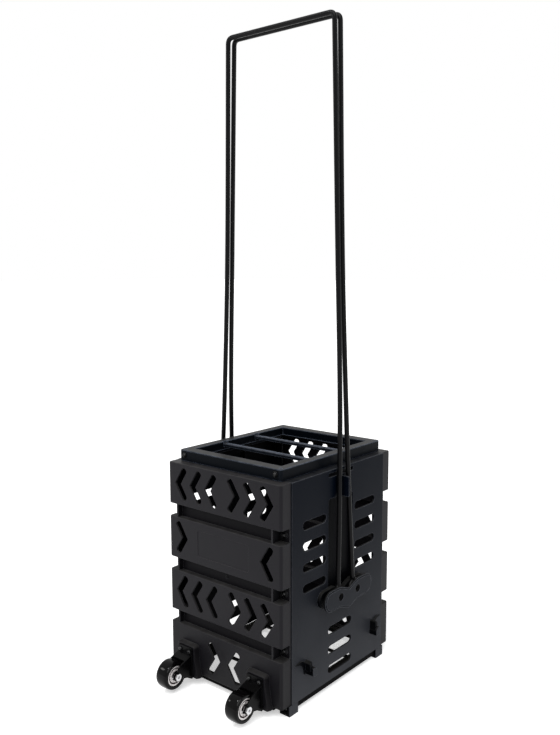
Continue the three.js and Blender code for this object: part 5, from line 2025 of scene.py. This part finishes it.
@dataclass
class PickUpFloor:
    """Frame under the basket and the rods between which the balls are pressed in."""

    height: float = 10.7
    strip_setback: float = 3.5
    strip_lift: float = 4
    strip_x: float = 25
    strip_y: float = 21.5
    corner: float = 5
    edge: float = 0.8
    rod_radius: float = 3
    rod_count: int = 3
    rod_seat: float = 10

    def build(self, shop: "Workshop") -> None:
        """Shows the frame and the rods.

        Args:
            shop: The workshop.
        """
        top = BODY.low_band_bottom - SEAT_GAP
        bottom = top - self.height
        open_x, open_y = BODY.half_width - self.strip_x, BODY.half_depth - self.strip_y
        x = BODY.side_face - BODY.foot_width - SEAT_GAP
        y = BODY.half_depth - self.strip_setback
        strips = rectangle(-x, x, -y, y, self.edge)
        x, y = BODY.side_inside - SEAT_GAP, BODY.foot_inner - SEAT_GAP
        sides = rectangle(-x, x, -y, y, self.edge)
        edges = (self.edge, self.edge / 2)
        frame = Solid.prism(strips, Facing.UP, bottom + self.strip_lift, top, *edges)
        frame = frame.joined(Solid.prism(sides, Facing.UP, bottom, top, *edges))
        opening = rectangle(-open_x, open_x, -open_y, open_y, self.corner)
        cutters = [Solid.opening(opening, Facing.UP, bottom - OVERRUN, top, self.edge / 2)]
        level, end = (top + bottom) / 2, open_x + self.rod_seat
        gap = (2 * open_y - self.rod_count * 2 * self.rod_radius) / (self.rod_count + 1)
        for i in range(self.rod_count):
            y = (i + 1) * gap + (2 * i + 1) * self.rod_radius - open_y
            hole = circle(self.rod_radius + SEAT_GAP, y, level)
            seat = end + SEAT_GAP
            cutters.append(Solid.prism(hole, Facing.RIGHT, -seat, seat))
            outline, edge = circle(self.rod_radius, y, level), self.edge / 2
            rod = Solid.prism(outline, Facing.RIGHT, -end, end, edge, edge)
            shop.show(f"rod_{i + 1}", rod, WIRE, f"pick_up_rod_{i + 1}")
        shop.show("floor_shell", frame.cut(*cutters), UNDERSIDE_SHADE, "floor_frame")


# Wheels


@dataclass
class ForkBracket:
    """Pressed steel bracket: screw plate, two cheeks and the hood between them."""

    plate_width: float = 32
    bottom: float = 12
    top: float = 63.5
    corner: float = 3
    inner_width: float = 26.4
    shoulder: float = 52.5
    brow_out: float = 23
    brow_height: float = 44.5
    hood_out: float = 14
    eye: float = 6.8
    heel_out: float = 8.5
    heel_height: float = 17
    edge: float = 0.4
    screw_spread: float = 10
    screw_inset: float = 7

    @property
    def half(self) -> float:
        """Half of the width over the cheeks."""
        return self.inner_width / 2 + BODY.sheet

    def screws(self) -> list[Point]:
        """Screw places on the plate, from its middle."""
        rows = (self.top - self.screw_inset, self.bottom + self.screw_inset)
        return [(x, z) for z in rows for x in (-self.screw_spread, self.screw_spread)]

    def cheek(self) -> Outline:
        """Outline of the cheeks, seen from the side.

        Returns:
            The outline.
        """
        front = -BODY.plate_front
        back = front + BODY.sheet
        eye_y, eye_z = -BODY.axle_y, BODY.axle_height
        brow = (front - self.brow_out, self.brow_height)
        away = Vector((brow[0] - eye_y, brow[1] - eye_z))
        touch = math.atan2(away.y, away.x) + math.acos(self.eye / away.length)
        points = [(front, self.bottom), (back, self.bottom), (back, self.shoulder)]
        points += [(front, self.shoulder), brow]
        down = 3 * math.pi / 2
        points += arc(eye_y, eye_z, self.eye, touch, down - touch, 3 * ARC_STEPS)
        heel = front - self.heel_out
        low, knee = eye_z - self.eye, self.heel_height + BODY.sheet
        for k in range(1, ARC_STEPS + 1):
            t = k / ARC_STEPS
            y = eye_y * (1 - t) ** 2 + heel * (1 - (1 - t) ** 2)
            z = low * (1 - t) ** 2 + knee * 2 * t * (1 - t) + self.heel_height * t * t
            points.append((y, z))
        return tidied(points)

    def build(self) -> Solid:
        """The bracket, at the middle of the cart.

        Returns:
            The bracket.
        """
        front = BODY.plate_front
        half = self.half
        outside = Solid.prism(self.cheek(), Facing.RIGHT, -half, half, self.edge, self.edge)
        slope = (self.shoulder - self.brow_height) / self.brow_out
        under = self.shoulder - BODY.sheet
        hood = -front - self.hood_out
        far = -BODY.axle_y - self.eye - OVERRUN
        low, high = self.bottom - OVERRUN, self.shoulder + OVERRUN
        inner = tidied(
            [
                (-front, low),
                (-front, under),
                (hood, under - slope * self.hood_out),
                (hood, high),
                (far, high),
                (far, low),
            ]
        )
        wide = self.inner_width / 2
        sheet = outside.cut(Solid.prism(inner, Facing.RIGHT, -wide, wide))
        wide, back = self.plate_width / 2, front - BODY.sheet
        outline = rectangle(-wide, wide, self.bottom, self.top, self.corner)
        plate = Solid.prism(outline, Facing.FORWARD, back, front, self.edge / 2, self.edge)
        low, high = back - OVERRUN, front + OVERRUN
        holes = [screw_hole(x, z, low, high) for x, z in self.screws()]
        axle = circle(BODY.axle_hole, -BODY.axle_y, BODY.axle_height)
        holes.append(Solid.prism(axle, Facing.RIGHT, -half - OVERRUN, half + OVERRUN))
        return sheet.joined(plate).cut(*holes)


@dataclass
class Wheel:
    """Rolling parts about the axle: glossy tyre, white hub with slanted spokes, bearing sleeve."""

    tyre_width: float = 24
    shoulder: float = 3.4
    tread_steps: int = 10
    squareness: float = 2 / 3
    bore: float = 16.3
    bead: float = 0.7
    hub_width: float = 21
    hub_rim: float = 2.8
    web_width: float = 12
    boss: float = 11
    boss_drop: float = 0.6
    edge: float = 0.5
    spokes: int = 12
    spoke_width: float = 1.5
    spoke_lean: float = 0.9
    spoke_drop: float = 2.2
    marks: int = 9
    mark_width: float = 1.3
    mark_length: float = 3.4
    mark_radius: float = 9.2
    mark_depth: float = 0.9
    bearing_radius: float = 7
    bearing_half: float = 7
    bearing_span: float = 25.8
    neck: float = 5
    steps: int = 72

    def tyre(self) -> Solid:
        """Tyre with a crowned tread and a bead beside the hub.

        Returns:
            The tyre.
        """
        half = self.tyre_width / 2
        count = 2 * self.tread_steps
        profile = []
        for i in range(count + 1):
            angle = math.pi / 2 * (i / self.tread_steps - 1)
            share = math.copysign(abs(math.sin(angle)) ** self.squareness, angle)
            drop = self.shoulder * (1 - abs(math.cos(angle)) ** self.squareness)
            profile.append((BODY.tyre_radius - drop, share * half))
        inner = self.bore + self.bead
        for side in (1, -1):
            bead = [(inner, side * half), (inner, side * (half - self.bead))]
            bead.append((self.bore, side * (half - self.bead)))
            profile += bead if side > 0 else bead[::-1]
        return Solid.turned(profile, Facing.RIGHT, self.steps, closed=True)

    def hub(self) -> Solid:
        """Hub: bright outer ring, grooved web with spokes and a boss ring round the bearing.

        Returns:
            The hub.
        """
        outer, bore = self.bore - SEAT_GAP, self.bearing_radius + SEAT_GAP
        half, web, edge = self.hub_width / 2, self.web_width / 2, self.edge
        face = half - self.boss_drop
        ring = outer - self.hub_rim
        right = [
            (outer, half - edge),
            (outer - edge, half),
            (ring + edge, half),
            (ring, half - edge),
            (ring - edge, web),
            (self.boss + edge, web),
            (self.boss, face - edge),
            (self.boss - edge, face),
            (bore + edge, face),
            (bore, face - edge),
        ]
        profile = right + [(radius, -level) for radius, level in reversed(right)]
        wheel = Solid.turned(profile, Facing.RIGHT, self.steps, closed=True)
        spoke_face = half - self.spoke_drop
        length = (ring - self.boss) / 2 + 2 * edge
        middle = (ring + self.boss) / 2
        plan = rectangle(-length, length, -self.spoke_width / 2, self.spoke_width / 2, self.edge)
        spoke = Solid.prism(plan, Facing.UP, -spoke_face, spoke_face, edge / 2, edge / 2)
        spokes = self.spread(spoke, self.spokes, middle, self.spoke_lean)
        reach, wide = self.mark_length / 2, self.mark_width / 2
        plan = rectangle(-reach, reach, -wide, wide, self.edge)
        mark = Solid.prism(plan, Facing.UP, face - self.mark_depth, half + OVERRUN)
        lean = math.pi / 2 - self.spoke_lean / 2
        marks = self.spread(mark, self.marks, self.mark_radius, lean)
        cuts = [cutter for mark in marks for cutter in both(mark)]
        return wheel.joined(*spokes).cut(*cuts)

    @staticmethod
    def spread(solid: Solid, count: int, radius: float, lean: float) -> list[Solid]:
        """Copies of a solid, evenly round the axle.

        Args:
            solid: The solid, which looks along the axle.
            count: Number of copies.
            radius: Their distance from the axle.
            lean: How far each is turned about itself, in radians.

        Returns:
            The copies.
        """
        out, tilt = Matrix.Translation((radius, 0, 0)), Matrix.Rotation(lean, 4, "Z")
        turns = [Matrix.Rotation(2 * math.pi * k / count, 4, "Z") for k in range(count)]
        return [solid.placed(Facing.RIGHT.turn() @ (turn @ out @ tilt)) for turn in turns]

    def shade(self) -> PaintedShade:
        """Where the hubs lie behind the faces of their rings.

        Returns:
            The recess.
        """
        depth = self.hub_width / 2 - self.boss_drop - self.mark_depth / 2
        near, far = BODY.wheel_x - depth, BODY.wheel_x + depth
        inside = Nook((near, 0, 0), (far, 2 * BODY.axle_y, 2 * BODY.axle_height))
        return PaintedShade(HUB_SHADE, (inside,))

    def bearing(self) -> Solid:
        """Bearing sleeve, which fills the width between the cheeks.

        Returns:
            The sleeve.
        """
        half, wide, neck = self.bearing_span / 2, self.bearing_half, self.neck
        right = [(BODY.axle_hole, half), (neck, half), (neck, wide), (self.bearing_radius, wide)]
        profile = right + [(radius, -level) for radius, level in reversed(right)]
        return Solid.turned(profile, Facing.RIGHT, ROUND_STEPS, closed=True)


@dataclass
class Axle:
    """Axle bolt with a socket head at its right end, and the nut at its left."""

    radius: float = 3
    across: float = 6.2
    head: float = 3
    tip: float = 1.5
    nut: float = 4.4
    chamfer: float = 0.6
    socket: float = 2.4
    socket_depth: float = 2
    sides: int = 6

    def hexagon(self, low: float, high: float) -> Solid:
        """Hexagonal block whose corners are turned off at both ends, between two levels.

        Args:
            low: Its lower level.
            high: Its upper level.

        Returns:
            The block.
        """
        block = Solid.prism(circle(self.across, steps=self.sides), Facing.UP, low, high)
        flat = self.across - self.chamfer
        profile = [
            (flat - self.chamfer, low - self.chamfer),
            (self.across, low + self.chamfer),
            (self.across, high - self.chamfer),
            (flat - self.chamfer, high + self.chamfer),
        ]
        keep = Solid.turned(profile, Facing.UP, ROUND_STEPS)
        return block.combined([keep], Combine.INTERSECT)

    def bolt(self, seat: float) -> Solid:
        """Bolt whose head sits at the given distance from the middle of the bracket.

        Args:
            seat: That distance.

        Returns:
            The bolt.
        """
        low = -seat - self.nut - self.tip
        neck = seat + self.head / 2
        shank = Solid.prism(circle(self.radius), Facing.UP, low, neck, self.chamfer)
        head = self.hexagon(seat, seat + self.head)
        outline = circle(self.socket, steps=self.sides)
        floor, past = seat + self.head - self.socket_depth, seat + self.head + OVERRUN
        socket = Solid.prism(outline, Facing.UP, floor, past)
        return shank.joined(head).cut(socket).placed(Facing.RIGHT.turn())

    def nut_block(self, seat: float) -> Solid:
        """Nut at the given distance to the left of the middle of the bracket.

        Args:
            seat: That distance.

        Returns:
            The nut.
        """
        low = -seat - self.nut
        bore = Solid.prism(circle(BODY.axle_hole), Facing.UP, low - OVERRUN, 0)
        return self.hexagon(low, -seat).cut(bore).placed(Facing.RIGHT.turn())


@dataclass
class Casters:
    """Both wheels in their brackets, with their bolts, nuts and plate screws."""

    bracket: ForkBracket = field(default_factory=ForkBracket)
    wheel: Wheel = field(default_factory=Wheel)
    axle: Axle = field(default_factory=Axle)

    def build(self, shop: "Workshop", screw: Solid) -> None:
        """Shows the wheels and brackets.

        Args:
            shop: The workshop.
            screw: A plate screw that faces forward, its seat at zero.
        """
        seat = self.bracket.half + SEAT_GAP
        bracket = self.bracket.build()
        rolling = {
            "tyre": (self.wheel.tyre(), TYRE),
            "hub": (self.wheel.hub(), HUB),
            "bearing": (self.wheel.bearing(), STEEL),
        }
        fixed = {"axle_bolt": self.axle.bolt(seat), "axle_nut": self.axle.nut_block(seat)}
        for side, x in (("left", -BODY.wheel_x), ("right", BODY.wheel_x)):
            place = (x, -BODY.axle_y, BODY.axle_height)
            node = f"fork_bracket_{side}"
            shop.show(f"fork_{side}", bracket.moved(x, 0, 0), BRACKET, node)
            for name, (solid, finish) in rolling.items():
                node = f"{name}_{side}"
                shade = self.wheel.shade() if name == "hub" else None
                at = solid.moved(*place)
                shop.show(f"wheel_{node}", at, finish, node, shade, f"wheel_{side}")
            for name, solid in fixed.items():
                node = f"{name}_{side}"
                shop.show(f"steel_{node}", solid.moved(*place), STEEL, node)
            for i, (across, z) in enumerate(self.bracket.screws(), 1):
                at = screw.moved(x + across, -BODY.plate_front - SEAT_GAP, z)
                node = f"fork_screw_{side}_{i}"
                shop.show(f"plate_screw_{side}_{i}", at, DARK_SCREW, node)


# Screws


@dataclass
class Screws:
    """Pan-head screws with a cross recess."""

    head: float = 3.1
    head_height: float = 2.2
    shank: float = 1.8
    short: float = 7
    long: float = 8
    recess_length: float = 3.4
    recess_width: float = 0.9
    recess_depth: float = 1.3
    dome_share: float = 0.75
    cup_radius: float = 6.1
    cup_gap: float = 0.1
    cup_height: float = 2.1
    cup_lip: float = 0.7
    ring_radius: float = 4.8
    ring_height: float = 1.3

    def screw(self, length: float, facing: Facing) -> Solid:
        """Screw of a length under its head, its seat at zero.

        Args:
            length: Length of the shank.
            facing: Where the head looks.

        Returns:
            The screw.
        """
        dome = [(self.head, 0), (self.head, self.head_height / 4)]
        for depth, drawn in rounding(self.dome_share * self.head_height)[1:]:
            dome.append((self.head - drawn, self.head_height - depth))
        profile = [(self.shank, -length), (self.shank, 0), *dome]
        solid = Solid.turned(profile, Facing.UP, ROUND_STEPS)
        long, wide = self.recess_length / 2, self.recess_width / 2
        low, high = self.head_height - self.recess_depth, self.head_height + OVERRUN
        slots = [
            Solid.box(-long, long, -wide, wide, low, high),
            Solid.box(-wide, wide, -long, long, low, high),
        ]
        return solid.cut(*slots).placed(facing.turn())

    def build(self, shop: "Workshop", cover_face: float, bore_depth: float) -> None:
        """Shows the screws of the covers, the corners and the rim.

        Args:
            shop: The workshop.
            cover_face: Outer face of the pivot covers.
            bore_depth: Depth of the bores in them.
        """
        long = self.screw(self.long, Facing.RIGHT)
        seat = cover_face - bore_depth + SEAT_GAP
        for end, y in zip(ENDS, BODY.pivots):
            for piece, shape in (("cover_screw", long), ("bore_shade_cup", self.shade_cup())):
                for side, solid in by_side(shape.moved(seat, y, BODY.pivot_height)):
                    name = f"{side}_{end}"
                    node = f"pivot_screw_{name}"
                    shop.show(f"{piece}_{name}", solid, BORE_SHADE, node)
        short = self.screw(self.short, Facing.FORWARD)
        deep = BODY.seam + BODY.wall + BODY.boss_height + SEAT_GAP
        levels = [(BODY.foot_screw_height, BODY.seam + SEAT_GAP)]
        levels += [(z, deep) for z in BODY.pocket_levels]
        for side, sign in (("left", -1), ("right", 1)):
            for i, (z, seat) in enumerate(levels, 1):
                place = (sign * BODY.corner_screw_x, -seat, z)
                at, ring = short.moved(*place), self.washer().moved(*place)
                for end, solid, round_it in zip(ENDS, both(at, 1), both(ring, 1)):
                    name = f"{end}_{side}_{i}"
                    node = f"corner_screw_{name}"
                    shop.show(f"pocket_screw_{name}", solid, DARK_SCREW, node)
                    if i > 1:
                        shop.show(f"pocket_ring_{name}", round_it, WIRE, node)
            place = (sign * BODY.rim_screw_x, -BODY.rim_y - SEAT_GAP, BODY.rim_screw_level)
            at, ring = short.moved(*place), self.washer().moved(*place)
            for end, solid, round_it in zip(ENDS, both(at, 1), both(ring, 1)):
                name = f"{end}_{side}"
                node = f"rim_screw_{name}"
                shop.show(f"rim_head_{name}", solid, DARK_SCREW, node)
                shop.show(f"rim_ring_{name}", round_it, WIRE, node)

    def washer(self) -> Solid:
        """Black dished ring round a head that faces forward, its seat at zero.

        Returns:
            The ring.
        """
        inner, outer, height = self.head + self.cup_gap, self.ring_radius, self.ring_height
        profile = [(inner, 0), (outer, 0), (outer - self.cup_gap, height / 2)]
        profile += [(outer - self.cup_lip, height), (inner + self.cup_lip, height)]
        profile.append((inner, height / 2))
        return Solid.turned(profile, Facing.FORWARD, ROUND_STEPS, closed=True)

    def shade_cup(self) -> Solid:
        """Black cup round a head in a bore, which looks to the right, its seat at zero; it paints
        the shade in the bore.

        Returns:
            The cup.
        """
        inner, outer, height = self.head + self.cup_gap, self.cup_radius, self.cup_height
        profile = [(inner, 0), (outer, 0), (outer, height), (outer - self.cup_lip, height)]
        profile.append((inner, height / 3))
        return Solid.turned(profile, Facing.RIGHT, ROUND_STEPS, closed=True)


# Studio


@dataclass(frozen=True)
class Lamp:
    """A square soft lamp: its place and side in metres, its power in watts and its colour."""

    name: str
    place: Corner
    side: float
    power: float
    tint: Colour


@dataclass
class Studio:
    """Camera at the photograph's angle, soft lamps, white surroundings and a pale floor."""

    place: Corner = (0.8238, -0.9645, 0.6708)
    azimuth: float = 39.70
    pitch: float = 7.07
    roll: float = -0.12
    lens: float = 38.71
    sensor: float = 36
    floor_half: float = 40
    floor_squares: int = 24
    floor_colour: Colour = (0.96, 0.96, 0.96)
    floor_roughness: float = 0.9
    floor_glow: float = 0.5
    ambient: float = 0.3
    sun_from: Corner = (0.25, -0.5, 0.83)
    sun_strength: float = 2.3
    sun_angle: float = 50
    aim_height: float = 0.25
    lamps: tuple[Lamp, ...] = (
        Lamp("overhead", (-0.9, -1.3, 2.4), 0.2, 12.0, (0.97, 0.98, 1.0)),
        Lamp("left", (-2.2, -1.8, 1.7), 0.5, 8.0, (1.0, 0.99, 0.97)),
        Lamp("right", (2.4, 0.6, 1.5), 0.6, 6.0, (0.93, 0.96, 1.0)),
    )

    def camera(self) -> None:
        """Creates the camera."""
        azimuth, pitch, roll = (math.radians(a) for a in (self.azimuth, self.pitch, self.roll))
        ahead = Vector(
            (
                -math.sin(azimuth) * math.cos(pitch),
                math.cos(azimuth) * math.cos(pitch),
                -math.sin(pitch),
            )
        )
        level = Vector((math.cos(azimuth), math.sin(azimuth), 0))
        upright = level.cross(ahead)
        right = level * math.cos(roll) + upright * math.sin(roll)
        up = upright * math.cos(roll) - level * math.sin(roll)
        data = bpy.data.cameras.new("camera")
        data.lens = self.lens
        data.sensor_width = self.sensor
        camera = new_object("camera", data)
        turn = Matrix((right, up, -ahead)).transposed().to_4x4()
        camera.matrix_world = Matrix.Translation(self.place) @ turn
        bpy.context.scene.camera = camera

    def hang(self, data: bpy.types.Light, place: Vector, aim: Vector) -> None:
        """Hangs a light at a place and turns it in a direction.

        Args:
            data: The light.
            place: Its place in metres.
            aim: Where it looks.
        """
        light = new_object(data.name, data)
        light.location = place
        light.rotation_euler = aim.to_track_quat("-Z", "Y").to_euler()

    def lights(self) -> None:
        """Creates the wide main light and the lamps that look at the basket."""
        sun = bpy.data.lights.new("daylight", "SUN")
        sun.energy = self.sun_strength
        sun.angle = math.radians(self.sun_angle)
        self.hang(sun, Vector(), -Vector(self.sun_from))
        for lamp in self.lamps:
            data = bpy.data.lights.new(lamp.name, "AREA")
            data.shape = "SQUARE"
            data.size = lamp.side
            data.energy = lamp.power
            data.color = lamp.tint
            place = Vector(lamp.place)
            self.hang(data, place, Vector((0, 0, self.aim_height)) - place)

    def surroundings(self) -> None:
        """White for the eye and in reflections, plain grey light for everything else."""
        world = bpy.data.worlds.new("studio")
        bpy.context.scene.world = world
        world.use_nodes = True
        nodes = Nodes(world.node_tree)
        sky = nodes.tree.nodes["Background"]
        strength = nodes.node("ShaderNodeMix", data_type="FLOAT")
        nodes.link(self.seen(nodes), strength.inputs[0])
        strength.inputs[2].default_value = self.ambient
        strength.inputs[3].default_value = 1.0
        nodes.link(strength.outputs[0], sky.inputs["Strength"])
        sky.inputs["Color"].default_value = (1, 1, 1, 1)

    def seen(self, nodes: Nodes) -> Socket:
        """Mask of the rays of the camera, of reflections and through glass.

        Args:
            nodes: The node tree.

        Returns:
            The mask.
        """
        rays = nodes.node("ShaderNodeLightPath").outputs
        glossy = nodes.sums("MAXIMUM", rays["Is Camera Ray"], rays["Is Glossy Ray"])
        return nodes.sums("MAXIMUM", glossy, rays["Is Transmission Ray"])

    def floor(self) -> None:
        """Wide pale floor that keeps the cart's shadow."""
        work = bmesh.new()
        count = self.floor_squares
        bmesh.ops.create_grid(work, x_segments=count, y_segments=count, size=self.floor_half)
        mesh = bpy.data.meshes.new("floor")
        work.to_mesh(mesh)
        work.free()
        material = bpy.data.materials.new("floor_sweep")
        material.use_nodes = True
        nodes = Nodes(material.node_tree)
        shader = nodes.tree.nodes["Principled BSDF"]
        shader.inputs["Base Color"].default_value = (*self.floor_colour, 1)
        shader.inputs["Roughness"].default_value = self.floor_roughness
        shader.inputs["Specular IOR Level"].default_value = 0.0
        shader.inputs["Emission Color"].default_value = (1, 1, 1, 1)
        glow = nodes.sums("MULTIPLY", self.seen(nodes), self.floor_glow)
        nodes.link(glow, shader.inputs["Emission Strength"])
        mesh.materials.append(material)
        floor = new_object("floor", mesh)

    def build(self) -> None:
        """Sets the whole studio up."""
        bpy.context.scene.view_settings.view_transform = "Standard"
        self.camera()
        self.surroundings()
        self.floor()
        self.lights()


def main() -> None:
    """Builds the cart and its studio, piece by piece."""
    logging.basicConfig(level=logging.INFO, format="%(message)s")
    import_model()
    shop = Workshop()
    screws = Screws()
    covers = PivotCovers()
    casters = Casters()
    Studio().build()
    EndPanels().build(shop, casters.bracket.screws())
    SidePanels().build(shop)
    covers.build(shop)
    Handles().build(shop)
    Rim().build(shop)
    PickUpFloor().build(shop)
    casters.build(shop, screws.screw(screws.short, Facing.FORWARD))
    screws.build(shop, covers.face, covers.bore_depth)


if __name__ == "__main__":
    main()
